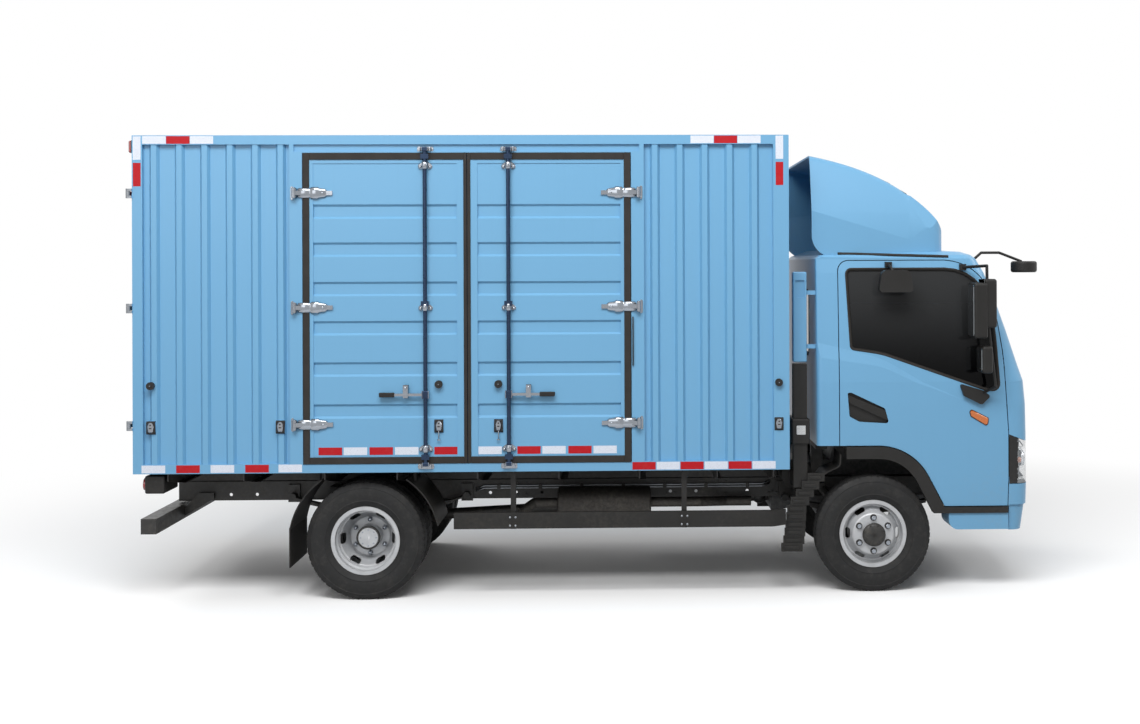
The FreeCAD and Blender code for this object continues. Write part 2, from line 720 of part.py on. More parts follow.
def ridged_outline(start, end, face, first):
    """Plan outline of a pressed sheet wall: ridges stand out from a set back face."""
    high = face - RIDGE_SET_BACK
    low = high - RIDGE_DEPTH
    back = face - WALL_THICKNESS
    outline = [(start, back), (start, low)]
    centre = start + first
    while centre + RIDGE_FOOT / 2 < end - 4:
        outline += [
            (centre - RIDGE_FOOT / 2, low), (centre - RIDGE_TOP / 2, high),
            (centre + RIDGE_TOP / 2, high), (centre + RIDGE_FOOT / 2, low),
        ]
        centre += RIDGE_PITCH
    return outline + [(end, low), (end, back)]


def ridged_side_wall(start, end, first):
    """Ridged panel of the right wall between two stations, between its rails."""
    outline = ridged_outline(start, end, BOX_HALF_WIDTH, first)
    return plan_prism([(x, -y) for x, y in outline], PANEL_LOW_Z, PANEL_HIGH_Z)


def wall_block(start, end, low, high):
    """Flat stretch of the right wall at its full thickness."""
    return block(start, end, -BOX_HALF_WIDTH, -BOX_INSIDE_Y, low, high)


def side_rails():
    """Bottom rail, top rail and front post of one side."""
    return [
        wall_block(WALL_REAR_X, BOX_FRONT_X, BOX_BOTTOM_Z, BOX_BOTTOM_Z + SIDE_RAIL_HEIGHT),
        wall_block(WALL_REAR_X, BOX_FRONT_X, BOX_TOP_Z - SIDE_RAIL_HEIGHT, BOX_TOP_Z),
        wall_block(WALL_FRONT_X, BOX_FRONT_X, BOX_BOTTOM_Z, BOX_TOP_Z),
    ]


def box_left_wall():
    """Closed wall: ridged sheet between the rails and the posts."""
    return mirrored(join([ridged_side_wall(WALL_REAR_X, WALL_FRONT_X, FIRST_RIDGE)] + side_rails()))


def box_right_wall():
    """Wall with the opening for the two side doors, its jambs, hinge forks, stops and catches."""
    rear_jamb_x = SIDE_DOOR_REAR_X - DOOR_GAP
    front_jamb_x = SIDE_DOOR_FRONT_X + DOOR_GAP
    rear_panel_end = rear_jamb_x - JAMB_WIDTH
    front_panel_start = front_jamb_x + JAMB_WIDTH
    wall = join([
        ridged_side_wall(WALL_REAR_X, rear_panel_end, FIRST_RIDGE),
        ridged_side_wall(front_panel_start, WALL_FRONT_X, FIRST_RIDGE),
        wall_block(rear_panel_end, front_panel_start, BOX_BOTTOM_Z, BOX_TOP_Z),
    ] + side_rails())
    opening = block(rear_jamb_x, front_jamb_x, -BOX_HALF_WIDTH - 1, -BOX_INSIDE_Y + 1,
                    FLOOR_TOP_Z, SIDE_DOOR_TOP_Z + DOOR_GAP)
    drip = block(rear_jamb_x - SIDE_HINGE_OFFSET, front_jamb_x + SIDE_HINGE_OFFSET, -BOX_HALF_WIDTH - 1,
                 -BOX_HALF_WIDTH + DRIP_RECESS, DRIP_LOW_Z, BOX_TOP_Z - SIDE_RAIL_HEIGHT)
    fittings = [rubber_stop(BOX_REAR_X + STOP_FROM_REAR), rubber_stop(BOX_FRONT_X - STOP_FROM_FRONT)]
    for x in (BOX_REAR_X + STOP_FROM_REAR, CATCH_REAR_X, BOX_FRONT_X - STOP_FROM_FRONT):
        fittings.append(wall_catch(x))
    for x in (SIDE_DOOR_REAR_X - SIDE_HINGE_OFFSET, SIDE_DOOR_FRONT_X + SIDE_HINGE_OFFSET):
        fittings += side_hinge_forks(x)
    return join([wall.cut(opening).cut(drip)] + fittings)


def box_front_wall():
    """Ridged front wall between the side walls."""
    face = BOX_FRONT_X
    outline = ridged_outline(-BOX_INSIDE_Y, BOX_INSIDE_Y, face, FIRST_RIDGE + 20)
    panel = plan_prism([(x, y) for y, x in outline], PANEL_LOW_Z, PANEL_HIGH_Z)
    rails = [block(face - WALL_THICKNESS, face, -BOX_INSIDE_Y, BOX_INSIDE_Y, low, low + SIDE_RAIL_HEIGHT)
             for low in (BOX_BOTTOM_Z, BOX_TOP_Z - SIDE_RAIL_HEIGHT)]
    return join([panel] + rails)


def box_roof():
    """Roof skin with shallow cross ribs."""
    start, end = WALL_REAR_X, BOX_FRONT_X - WALL_THICKNESS
    low = BOX_TOP_Z - ROOF_RIB_HEIGHT
    skin = block(start, end, -BOX_INSIDE_Y, BOX_INSIDE_Y, BOX_TOP_Z - ROOF_THICKNESS, low)
    foot, crest = ROOF_RIB_WIDTH / 2, ROOF_RIB_WIDTH / 2 - 20
    ribs = []
    for i in range(ROOF_RIBS):
        x = start + (i + 0.5) * (end - start) / ROOF_RIBS
        outline = [(x - foot, low), (x - crest, BOX_TOP_Z), (x + crest, BOX_TOP_Z), (x + foot, low)]
        ribs.append(side_prism(outline, -BOX_INSIDE_Y + 30, BOX_INSIDE_Y - 30))
    return join([skin] + ribs)


def box_rear_frame():
    """Rear portal: two posts, header and sill, with the hinge forks of the rear doors."""
    outer, inner = BOX_HALF_WIDTH, BOX_HALF_WIDTH - REAR_POST_WIDTH
    portal = block(BOX_REAR_X, WALL_REAR_X, -outer, outer, BOX_BOTTOM_Z, BOX_TOP_Z)
    hole = block(BOX_REAR_X - 1, WALL_REAR_X + 1, -inner, inner,
                 REAR_DOOR_BOTTOM_Z - DOOR_GAP, REAR_DOOR_TOP_Z + DOOR_GAP)
    return join([portal.cut(hole)] + both_sides(rear_hinge_forks()))


# Doors of the load box

def channel_cut(x0, x1, z, face):
    """Cutter for one lying channel with sloped flanks; face is the outer side."""
    half, floor = CHANNEL_HEIGHT / 2, CHANNEL_FLOOR / 2
    return cross_prism([
        (-face - 1, z - half), (-face + CHANNEL_DEPTH, z - floor),
        (-face + CHANNEL_DEPTH, z + floor), (-face - 1, z + half),
    ], x0, x1)


def pressed_leaf(x0, x1, z0, z1, face):
    """Door leaf with a plain rim, a set back panel and six lying channels."""
    leaf = block(x0, x1, -face, -face + DOOR_THICKNESS, z0, z1)
    start, end = x0 + DOOR_RIM, x1 - DOOR_RIM
    cuts = [block(start, end, -face - 1, -face + DOOR_PANEL_DEPTH, z0 + DOOR_FOOT, z1 - DOOR_RIM)]
    cuts += [channel_cut(start, end, z, face - DOOR_PANEL_DEPTH) for z in CHANNEL_HEIGHTS_Z]
    return leaf.cut(Part.makeCompound(cuts[:1])).cut(Part.makeCompound(cuts[1:]))


def rubber_stop(x):
    """Round stop that meets its partner when a side door lies against the wall."""
    root = -BOX_HALF_WIDTH + RIDGE_SET_BACK + RIDGE_DEPTH + 4
    return cross_rod(x, root, -BOX_HALF_WIDTH - STOP_LENGTH, STOP_Z, STOP_RADIUS)


def wall_catch(x):
    """Flat catch plate with sloped ends, for holding a door that is folded back."""
    face = -BOX_HALF_WIDTH
    half, slope = CATCH_HEIGHT / 2, CATCH_DEPTH
    outline = [
        (face + RIDGE_SET_BACK + DOOR_PANEL_DEPTH, CATCH_Z - half), (face, CATCH_Z - half),
        (face - CATCH_DEPTH, CATCH_Z - half + slope), (face - CATCH_DEPTH, CATCH_Z + half - slope),
        (face, CATCH_Z + half), (face + RIDGE_SET_BACK + DOOR_PANEL_DEPTH, CATCH_Z + half),
    ]
    return cross_prism(outline, x - CATCH_WIDTH / 2, x + CATCH_WIDTH / 2)


def hinge_fork(x, y, feet):
    """Pin and two eyes at each hinge height; feet gives the block that ties one eye to its post."""
    solids = []
    for z in HINGE_HEIGHTS_Z:
        low, high = z - HINGE_HEIGHT / 2, z + HINGE_HEIGHT / 2
        parts = [rod((x, y, low), (x, y, high), HINGE_PIN_RADIUS)]
        for start in (low, high - HINGE_FORK_HEIGHT):
            end = start + HINGE_FORK_HEIGHT
            parts.append(rod((x, y, start), (x, y, end), HINGE_BARREL_RADIUS))
            parts.append(feet(start, end))
        solids.append(join(parts))
    return solids


def side_hinge_forks(x):
    """Pins and forks on a jamb of the side opening."""
    y = -BOX_HALF_WIDTH - SIDE_HINGE_OUT
    half = HINGE_BARREL_RADIUS

    def foot(low, high):
        return block(x - half, x + half, y, -BOX_HALF_WIDTH + 2, low, high)

    return hinge_fork(x, y, foot)


def rear_hinge_forks():
    """Pins and forks on the right rear post."""
    y, half = REAR_HINGE_Y, HINGE_BARREL_RADIUS

    def foot(low, high):
        return block(REAR_HINGE_X, BOX_REAR_X + 2, y - half + 2, y + half, low, high)

    return hinge_fork(REAR_HINGE_X, y, foot)


def hinge_straps(x, y, plan):
    """Straps of one door: barrels round the pin with the arm drawn in plan."""
    solids = []
    half = HINGE_STRAP_HEIGHT / 2
    for z in HINGE_HEIGHTS_Z:
        arm = plan_prism(plan, z - half, z + half)
        barrel = rod((x, y, z - half), (x, y, z + half), HINGE_BARREL_RADIUS)
        bore = rod((x, y, z - HINGE_HEIGHT), (x, y, z + HINGE_HEIGHT), HINGE_PIN_RADIUS + HINGE_PLAY)
        solids.append(join([arm, barrel]).cut(bore))
    return solids


def side_hinge_straps(x, towards):
    """Straps from the pin over the seal onto the face of a side door."""
    y = -BOX_HALF_WIDTH - SIDE_HINGE_OUT
    start, end = SIDE_HINGE_OFFSET + 8, SIDE_HINGE_OFFSET + STRAP_LENGTH
    face = -BOX_HALF_WIDTH
    plan = [
        (0, y - HINGE_BARREL_RADIUS), (0, y - HINGE_BARREL_RADIUS + STRAP_THICKNESS), (start, face),
        (end, face), (end, face - STRAP_THICKNESS), (start, face - STRAP_THICKNESS - 2),
    ]
    return hinge_straps(x, y, [(x + towards * px, py) for px, py in plan])


def lock_rod(x, face, low, high, towards):
    """Upright lock bar with its guides, end cams, lever and keeper on a door face."""
    y = -face - LOCK_ROD_OUT
    seat = -face + DOOR_PANEL_DEPTH
    front = y - LOCK_ROD_RADIUS
    half = LOCK_GUIDE_HALF
    solids = [rod((x, y, low), (x, y, high), LOCK_ROD_RADIUS)]
    for z in (low + 60, (low + high) / 2 + 20, high - 60):
        solids.append(block(x - half, x + half, front - 4, seat, z - 16, z + 16))
    for z in (low, high - LOCK_CAM_HEIGHT):
        solids.append(soft_block(x - 22, x + 22, front - 3, y + 14, z, z + LOCK_CAM_HEIGHT, 4))
    z = LEVER_Z
    reach = x + towards * LEVER_LENGTH
    grip = reach - towards * GRIP_LENGTH
    keeper = x + towards * KEEPER_REACH
    solids.append(soft_block(x - 24, x + 24, front - 6, y + 10, z - 26, z + 26, 5))
    solids.append(block(min(x, reach), max(x, reach), y - 8, y + 4, z - 9, z + 9))
    solids.append(soft_block(min(grip, reach), max(grip, reach), y - 14, y + 10, z - 15, z + 15, 6))
    solids.append(block(keeper - 16, keeper + 16, y - 14, seat, z - 20, z + 62))
    return join(solids)


def side_door(x0, x1, hinge_x, towards, partner_x, rod_x):
    """Side door with its straps, stop, catch and lock; towards points from the hinge to the free edge."""
    leaf = pressed_leaf(x0, x1, FLOOR_TOP_Z + DOOR_GAP, SIDE_DOOR_TOP_Z, BOX_HALF_WIDTH)
    stop_x = 2 * hinge_x - partner_x
    lock = lock_rod(rod_x, BOX_HALF_WIDTH, FLOOR_TOP_Z - 14, SIDE_DOOR_TOP_Z + LOCK_ROD_PAST_DOOR, -towards)
    return join([leaf, rubber_stop(stop_x), wall_catch(stop_x), lock] + side_hinge_straps(hinge_x, towards))


def side_door_rear():
    hinge_x = SIDE_DOOR_REAR_X - SIDE_HINGE_OFFSET
    free_x = SIDE_DOOR_MIDDLE_X - DOOR_GAP / 2
    return side_door(SIDE_DOOR_REAR_X, free_x, hinge_x, 1, BOX_REAR_X + STOP_FROM_REAR, SIDE_ROD_REAR_X)


def side_door_front():
    hinge_x = SIDE_DOOR_FRONT_X + SIDE_HINGE_OFFSET
    free_x = SIDE_DOOR_MIDDLE_X + DOOR_GAP / 2
    return side_door(free_x, SIDE_DOOR_FRONT_X, hinge_x, -1, BOX_FRONT_X - STOP_FROM_FRONT, SIDE_ROD_FRONT_X)


def turned_to_rear(shape):
    """Turn a piece of the right side to the rear: what looked to -Y then looks to -X."""
    copy = shape.copy()
    copy.rotate(vec(0, 0, 0), vec(0, 0, 1), -90)
    return copy


def grab_handle(x, face):
    """Round bar for closing a rear door, with both ends let into the leaf."""
    root = -face + CHANNEL_DEPTH + DOOR_PANEL_DEPTH + 4
    out = -face - HANDLE_OUT
    return bent_rod([(x, root, HANDLE_LOW_Z), (x, out, HANDLE_LOW_Z), (x, out, HANDLE_HIGH_Z),
                     (x, root, HANDLE_HIGH_Z)], HANDLE_RADIUS)


def rear_door_right():
    face = -BOX_REAR_X
    y0, y1 = DOOR_GAP / 2, DOOR_GAP / 2 + REAR_DOOR_WIDTH
    leaf = pressed_leaf(y0, y1, REAR_DOOR_BOTTOM_Z, REAR_DOOR_TOP_Z, face)
    lock = lock_rod(REAR_ROD_Y, face, REAR_DOOR_BOTTOM_Z - LOCK_ROD_PAST_DOOR,
                    REAR_DOOR_TOP_Z + LOCK_ROD_PAST_DOOR, 1)
    handle = grab_handle(y1 - HANDLE_FROM_EDGE, face)
    x, y = REAR_HINGE_X, REAR_HINGE_Y
    start = y + REAR_POST_WIDTH + DOOR_GAP + REAR_HINGE_OUT + 4
    end = start + STRAP_LENGTH
    plan = [
        (x - HINGE_BARREL_RADIUS, y), (x - HINGE_BARREL_RADIUS + STRAP_THICKNESS, y), (BOX_REAR_X, start),
        (BOX_REAR_X, end), (BOX_REAR_X - STRAP_THICKNESS, end), (BOX_REAR_X - STRAP_THICKNESS - 2, start),
    ]
    return join([turned_to_rear(join([leaf, lock, handle]))] + hinge_straps(x, y, plan))


# Axles, springs and drive

def rear_axle():
    """Axle tube with its round differential case, nose, spring seats and brake drums."""
    end = REAR_DISC_Y - HUB_LENGTH - KNUCKLE_AIR
    x, z = REAR_AXLE_X, AXLE_Z
    tube = cross_rod(x, -end, end, z, AXLE_TUBE_RADIUS)
    case = Part.makeSphere(DIFFERENTIAL_RADIUS, vec(x, 0, z))
    nose = Part.makeCone(95, 62, DIFFERENTIAL_NOSE - 90, vec(x + 90, 0, z), vec(1, 0, 0))
    seat = block(x - 70, x + 70, -SPRING_Y - 42, -SPRING_Y + 42, z + 20, REAR_SPRING_SEAT_Z)
    drum = cross_rod(x, -end + 80, -end + 180, z, DRUM_RADIUS)
    return join([tube, case, nose] + both_sides([seat, drum]))


def arched_leaf(x, reach, lift, top, y0, y1):
    """One spring leaf between two arcs."""
    low = top - SPRING_LEAF - 0.5
    upper = Part.Arc(vec(x - reach, y0, top + lift), vec(x, y0, top), vec(x + reach, y0, top + lift))
    lower = Part.Arc(vec(x + reach, y0, low + lift), vec(x, y0, low), vec(x - reach, y0, low + lift))
    edges = [
        upper.toShape(), Part.makeLine(upper.EndPoint, lower.StartPoint),
        lower.toShape(), Part.makeLine(lower.EndPoint, upper.StartPoint),
    ]
    return Part.Face(Part.Wire(edges)).extrude(vec(0, y1 - y0, 0))


def leaf_spring(x, half_length, leaves, seat_z, rise):
    """Right spring: leaves that get shorter towards the axle, with eyes and frame hangers."""
    y0, y1 = -SPRING_Y - SPRING_WIDTH / 2, -SPRING_Y + SPRING_WIDTH / 2
    solids = []
    for i in range(leaves):
        share = 1.0 - 0.17 * i
        top = seat_z + 0.8 + SPRING_LEAF * (leaves - i)
        solids.append(arched_leaf(x, half_length * share, rise * share * share, top, y0, y1))
    eye_z = seat_z + SPRING_LEAF * leaves + rise
    for eye_x in (x - half_length, x + half_length):
        solids.append(cross_rod(eye_x, y0, y1, eye_z, SPRING_EYE_RADIUS))
        solids.append(cross_rod(eye_x, -SPRING_Y, -RAIL_HALF_SPREAD - 1, eye_z, SPRING_EYE_RADIUS - 4))
        solids.append(block(eye_x - 40, eye_x + 40, -RAIL_HALF_SPREAD - 22, -RAIL_HALF_SPREAD,
                            RAIL_BOTTOM_Z - 10, RAIL_TOP_Z - 30))
    return join(solids)


def leaf_springs():
    rear = leaf_spring(REAR_AXLE_X, REAR_SPRING_HALF, REAR_SPRING_LEAVES, REAR_SPRING_SEAT_Z,
                       REAR_SPRING_RISE)
    front = leaf_spring(FRONT_AXLE_X, FRONT_SPRING_HALF, FRONT_SPRING_LEAVES, FRONT_SPRING_SEAT_Z,
                        FRONT_SPRING_RISE)
    return Part.makeCompound(both_sides([rear, front]))


def shock_absorber(axle_x, start_x, lug_reach):
    """Two-stage damper from a lug on the axle up to a bracket on the right rail."""
    foot = (start_x - lug_reach, -SHOCK_Y, AXLE_Z)
    head = (axle_x - SHOCK_LEAN_X, -SHOCK_Y, SHOCK_TOP_Z)
    span = vec(*head) - vec(*foot)
    middle = vec(*foot) + span * 0.45
    lug = block(foot[0] - 18, start_x, -SHOCK_Y - 16, -SHOCK_Y + 16, AXLE_Z - 18, AXLE_Z + 18)
    piston = rod(foot, head, SHOCK_RADIUS * 0.5)
    barrel = rod((middle.x, middle.y, middle.z), head, SHOCK_RADIUS)
    bracket = block(head[0] - 26, head[0] + 26, -SHOCK_Y - 20, -RAIL_HALF_SPREAD - SEAT_GAP,
                    SHOCK_TOP_Z - 14, SHOCK_TOP_Z + 30)
    return join([lug, piston, barrel, bracket])


def shock_absorbers():
    rear = shock_absorber(REAR_AXLE_X, REAR_AXLE_X - AXLE_TUBE_RADIUS - SEAT_GAP, 24)
    front = shock_absorber(FRONT_AXLE_X, FRONT_AXLE_X - BEAM_HALF - SEAT_GAP, 24)
    return Part.makeCompound(both_sides([rear, front]))


def front_axle():
    """Beam with raised ends, a dropped middle and forged eyes for the king pins."""
    x, z = FRONT_AXLE_X, AXLE_Z
    end = KING_PIN_Y - 42
    beam = cross_prism([
        (-end, z + 34), (-end, z - 34), (-420, z - 34, 80), (-330, z - 80, 80), (330, z - 80, 80),
        (420, z - 34, 80), (end, z - 34), (end, z + 34), (400, z + 40, 60), (310, z - 8, 60),
        (-310, z - 8, 60), (-400, z + 40, 60),
    ], x - BEAM_HALF, x + BEAM_HALF)
    seat = block(x - 64, x + 64, -SPRING_Y - 40, -SPRING_Y + 40, z + 20, FRONT_SPRING_SEAT_Z)
    eye = rod((x, -KING_PIN_Y, z - KING_EYE_HALF), (x, -KING_PIN_Y, z + KING_EYE_HALF), KING_EYE_RADIUS)
    boss = block(x - 30, x + 30, -KING_PIN_Y, -KING_PIN_Y + 44, z - 34, z + 34)
    return join([beam] + both_sides([seat, eye, boss]))


def knuckle():
    """Right steering knuckle: yoke round the king pin eye, brake drum, stub and steering arm."""
    x, z, pin_y = FRONT_AXLE_X, AXLE_Z, -KING_PIN_Y
    low_z, high_z = KING_EYE_HALF + KNUCKLE_AIR, KING_EYE_HALF + 30
    solids = []
    for low, high in ((z - high_z, z - low_z), (z + low_z, z + high_z)):
        solids.append(rod((x, pin_y, low), (x, pin_y, high), KING_EYE_RADIUS))
        solids.append(block(x - 30, x + 30, pin_y - 44, pin_y, low, high))
    solids.append(block(x - 40, x + 40, pin_y - 58, pin_y - 38, z - high_z, z + high_z))
    solids.append(cross_rod(x, pin_y - 136, pin_y - 56, z, DRUM_RADIUS))
    solids.append(cross_rod(x, -FRONT_HUB_BACK_Y + KNUCKLE_AIR, pin_y - 136, z, 60))
    solids.append(block(x - 210, x - 20, pin_y - 24, pin_y + 6, z - 70, z - 50))
    return join(solids)


def drive_shaft():
    """Shaft from the gearbox to the axle nose with a joint at each end."""
    start = (REAR_AXLE_X + DIFFERENTIAL_NOSE + 2.4, 0, AXLE_Z)
    end = (ENGINE_REAR_X - 2.2, 0, SHAFT_Z)
    joints = [Part.makeSphere(SHAFT_RADIUS + 18, vec(start[0] + 54, 0, AXLE_Z + 3)),
              Part.makeSphere(SHAFT_RADIUS + 18, vec(end[0] - 60, 0, SHAFT_Z - 3))]
    return join([rod(start, end, SHAFT_RADIUS)] + joints)


def engine_block():
    """Plain block at the place of the engine and gearbox, with its frame mounts."""
    waist = FRONT_AXLE_X - 120
    core = side_prism([
        (ENGINE_REAR_X, ENGINE_BOTTOM_Z - 60), (waist, ENGINE_BOTTOM_Z), (ENGINE_FRONT_X, ENGINE_BOTTOM_Z),
        (ENGINE_FRONT_X, ENGINE_TOP_Z), (waist, ENGINE_TOP_Z), (waist - 80, ENGINE_BOTTOM_Z + 300),
        (ENGINE_REAR_X, ENGINE_BOTTOM_Z + 240),
    ], -ENGINE_HALF_WIDTH, ENGINE_HALF_WIDTH)
    reach = RAIL_HALF_SPREAD - RAIL_SHEET
    mounts = block(FRONT_AXLE_X + 120, FRONT_AXLE_X + 220, -reach, reach, RAIL_BOTTOM_Z + 20, RAIL_TOP_Z - 20)
    return join([core, mounts])


# What hangs on the frame

def side_guards():
    """Plank under each side of the box, its front end bent inwards, on two hangers."""
    face, end = -GUARD_Y, GUARD_FRONT_X
    back = face + GUARD_THICKNESS
    plank = plan_prism([
        (GUARD_REAR_X, face), (end - 90, face, 70), (end, face + 66), (end - 26, face + 76),
        (end - 100, back, 42), (GUARD_REAR_X, back),
    ], GUARD_LOW_Z, GUARD_HIGH_Z)
    hangers = [block(x - 17, x + 17, back, back + 34, GUARD_LOW_Z - 6, BOX_BOTTOM_Z) for x in GUARD_HANGERS_X]
    return pair(join([plank] + hangers))


def rear_underrun():
    """Square bar behind the wheels on two slanted stays."""
    half = UNDERRUN_SIZE / 2
    low, high = UNDERRUN_LOW_Z, UNDERRUN_LOW_Z + UNDERRUN_SIZE
    bar = block(UNDERRUN_X - half, UNDERRUN_X + half, -UNDERRUN_HALF_WIDTH, UNDERRUN_HALF_WIDTH, low, high)
    stay = side_prism([
        (UNDERRUN_X + 10, low + 34), (UNDERRUN_X + half, low + 14), (RAIL_REAR_X + 250, RAIL_BOTTOM_Z + 20),
        (RAIL_REAR_X + 250, RAIL_BOTTOM_Z + 60), (RAIL_REAR_X + 150, RAIL_BOTTOM_Z + 60),
    ], -RAIL_HALF_SPREAD - 32, -RAIL_HALF_SPREAD)
    return join([bar] + both_sides([stay]))


def arc_guard(cx, start, end, y0, y1):
    """Curved sheet round a rear wheel between two angles in degrees."""
    def at(radius, angle):
        a = math.radians(angle)
        return vec(cx + radius * math.cos(a), y0, AXLE_Z + radius * math.sin(a))
    inner, outer = MUDGUARD_RADIUS, MUDGUARD_RADIUS + MUDGUARD_SHEET
    middle = (start + end) / 2
    edges = [
        Part.Arc(at(outer, start), at(outer, middle), at(outer, end)).toShape(),
        Part.makeLine(at(outer, end), at(inner, end)),
        Part.Arc(at(inner, end), at(inner, middle), at(inner, start)).toShape(),
        Part.makeLine(at(inner, start), at(outer, start)),
    ]
    return Part.Face(Part.Wire(edges)).extrude(vec(0, y1 - y0, 0))


def rear_mudguards():
    """Front and rear arcs over the twin wheels, with a hanging flap behind."""
    y0, y1 = -MUDGUARD_OUTER_Y, -MUDGUARD_INNER_Y
    foot = AXLE_Z + MUDGUARD_RADIUS * math.sin(math.radians(170))
    flap_x = REAR_AXLE_X - MUDGUARD_RADIUS * math.cos(math.radians(10)) - 1
    flap = block(flap_x - MUDGUARD_SHEET, flap_x, y0, y1, FLAP_BOTTOM_Z, foot + 12)
    front = [arc_guard(REAR_AXLE_X, 12, 56, y0, y1)]
    rear = [arc_guard(REAR_AXLE_X, 124, 170, y0, y1), flap]
    stay_radius = MUDGUARD_RADIUS + MUDGUARD_SHEET / 2
    shapes = []
    for sign, guard in ((1, front), (-1, rear)):
        x = REAR_AXLE_X + sign * stay_radius * math.cos(math.radians(50))
        low = AXLE_Z + stay_radius * math.sin(math.radians(50))
        stays = [block(x - 8, x + 8, y, y + 40, low, BOX_BOTTOM_Z) for y in (-940, -660)]
        shapes.append(join(guard + stays))
    return pair(Part.makeCompound(shapes))


def front_mudguards():
    """Rear half of each front wheel guard, with its flap and its stay on the rail."""
    y0, y1 = -930.0, -640.0
    x = FRONT_AXLE_X
    face = [(x - 212, 918), (x - 216, 838, 40), (x - 318, 794, 90), (x - 452, 604, 160), (x - 462, 380, 300),
            (x - 486, 276)]
    back = [(c[0] - 10, c[1] + 4) + c[2:] for c in reversed(face)]
    skin = side_prism(face + back, y0, y1)
    stay = block(x - 466, x - 436, y1 - 10, -RAIL_HALF_SPREAD, RAIL_BOTTOM_Z + 40, RAIL_BOTTOM_Z + 80)
    return pair(join([skin, stay]))


def fuel_tank():
    """Long tank with rounded edges on the left rail, held by two strap rings, with a filler cap."""
    x0, x1 = TANK_REAR_X, TANK_REAR_X + TANK_LENGTH
    y0 = RAIL_HALF_SPREAD + 30
    y1 = y0 + TANK_DEPTH
    r = TANK_CORNER
    section = [(y0, TANK_LOW_Z, r), (y1, TANK_LOW_Z, r), (y1, TANK_HIGH_Z, r), (y0, TANK_HIGH_Z, r)]
    solids = [cross_prism(section, x0, x1)]
    half = TANK_STRAP_HALF
    for x in (x0 + TANK_STRAP_INSET, x1 - TANK_STRAP_INSET):
        solids.append(cross_prism(grown(section, 5), x - half, x + half))
        solids.append(block(x - half, x + half, RAIL_HALF_SPREAD, y0 + 60,
                            TANK_LOW_Z + 160, TANK_HIGH_Z - 120))
    filler_y = y1 - 90
    start, end = TANK_HIGH_Z - 4, TANK_HIGH_Z + FILLER_HEIGHT
    solids.append(rod((FILLER_X, filler_y, start), (FILLER_X, filler_y, end), FILLER_RADIUS))
    return join(solids)


def battery_box():
    """Ribbed battery case on a tray at the left rail."""
    x0, x1 = BATTERY_REAR_X, BATTERY_REAR_X + BATTERY_LENGTH
    y0, y1 = RAIL_HALF_SPREAD, RAIL_HALF_SPREAD + 300
    case = block(x0, x1, y0 + 40, y1, 470, 700)
    lid = soft_block(x0 - 8, x1 + 8, y0 + 34, y1 + 8, 690, 724, 8)
    tray = block(x0, x1, y0, y1, 462, 474)
    stays = [block(x - 20, x + 20, y0, y0 + 40, 474, 680) for x in (x0 + 80, x1 - 80)]
    ribs = [block(x0 + 40 + k * 64, x0 + 62 + k * 64, y1 - 1, y1 + 5, 484, 680) for k in range(6)]
    return join([case, lid, tray] + stays + ribs)


def exhaust():
    """Silencer beside the right rail with its inlet and tail pipe."""
    y, z = -RAIL_HALF_SPREAD - 190, SILENCER_Z
    x0, x1 = SILENCER_REAR_X, SILENCER_REAR_X + SILENCER_LENGTH
    inner_y = -RAIL_HALF_SPREAD - 70
    can = rod((x0, y, z), (x1, y, z), SILENCER_RADIUS)
    can = can.makeFillet(18, can.Edges[:1] + can.Edges[2:])
    inlet = bent_rod([(x1 - 10, y, z), (x1 + 330, y, z), (x1 + 520, inner_y, 540), (x1 + 700, inner_y, 540)],
                     PIPE_RADIUS)
    tail = bent_rod([(x0 + 10, y, z), (x0 - 160, y, z), (x0 - 250, y - 60, 500)], PIPE_RADIUS)
    brackets = [block(x - 16, x + 16, y, -RAIL_HALF_SPREAD, 596, 640) for x in (x0 + 120, x1 - 120)]
    return join([can, inlet, tail] + brackets)


def air_cleaner():
    """Filter canister behind the cab with the fixed lower part of the intake duct."""
    x, y = CAB_REAR_X - DUCT_X_FROM_CAB, -DUCT_Y
    length, width = DUCT_LENGTH / 2, DUCT_WIDTH / 2
    can = cross_rod(x, -RAIL_HALF_SPREAD - 330, -RAIL_HALF_SPREAD - 30, 762, 104)
    duct = block(x - length, x + length, y - width, y + width, 780, DUCT_SPLIT_Z - DUCT_SPLIT_GAP)
    elbow = block(x - length, x + length, y - width, -RAIL_HALF_SPREAD - 250, 700, 800)
    case = soft_block(x - 60, x + 62, -940, -RAIL_HALF_SPREAD - 300, 990, 1160, 12)
    foot = block(x - 8, x + 40, -RAIL_HALF_SPREAD - 60, -RAIL_HALF_SPREAD, 646, 690)
    return join([can, duct, elbow, case, foot])


def intake_snorkel():
    """Upper intake duct on the cab corner, above the split."""
    x, y = CAB_REAR_X - DUCT_X_FROM_CAB, -DUCT_Y
    length, width = DUCT_LENGTH / 2, DUCT_WIDTH / 2
    duct = soft_block(x - length, x + length, y - width, y + width, DUCT_SPLIT_Z, DUCT_TOP_Z, 10)
    mouth = block(x - 30, x + 30, y - width - 10, y - width + 12, DUCT_TOP_Z - 172, DUCT_TOP_Z - 56)
    near, far = x + length - 6, CAB_REAR_X - SEAT_GAP
    brackets = [block(near, far, y - 10, y + 20, z - 14, z + 14) for z in (1640, 2000)]
    return join([duct.cut(mouth)] + brackets)


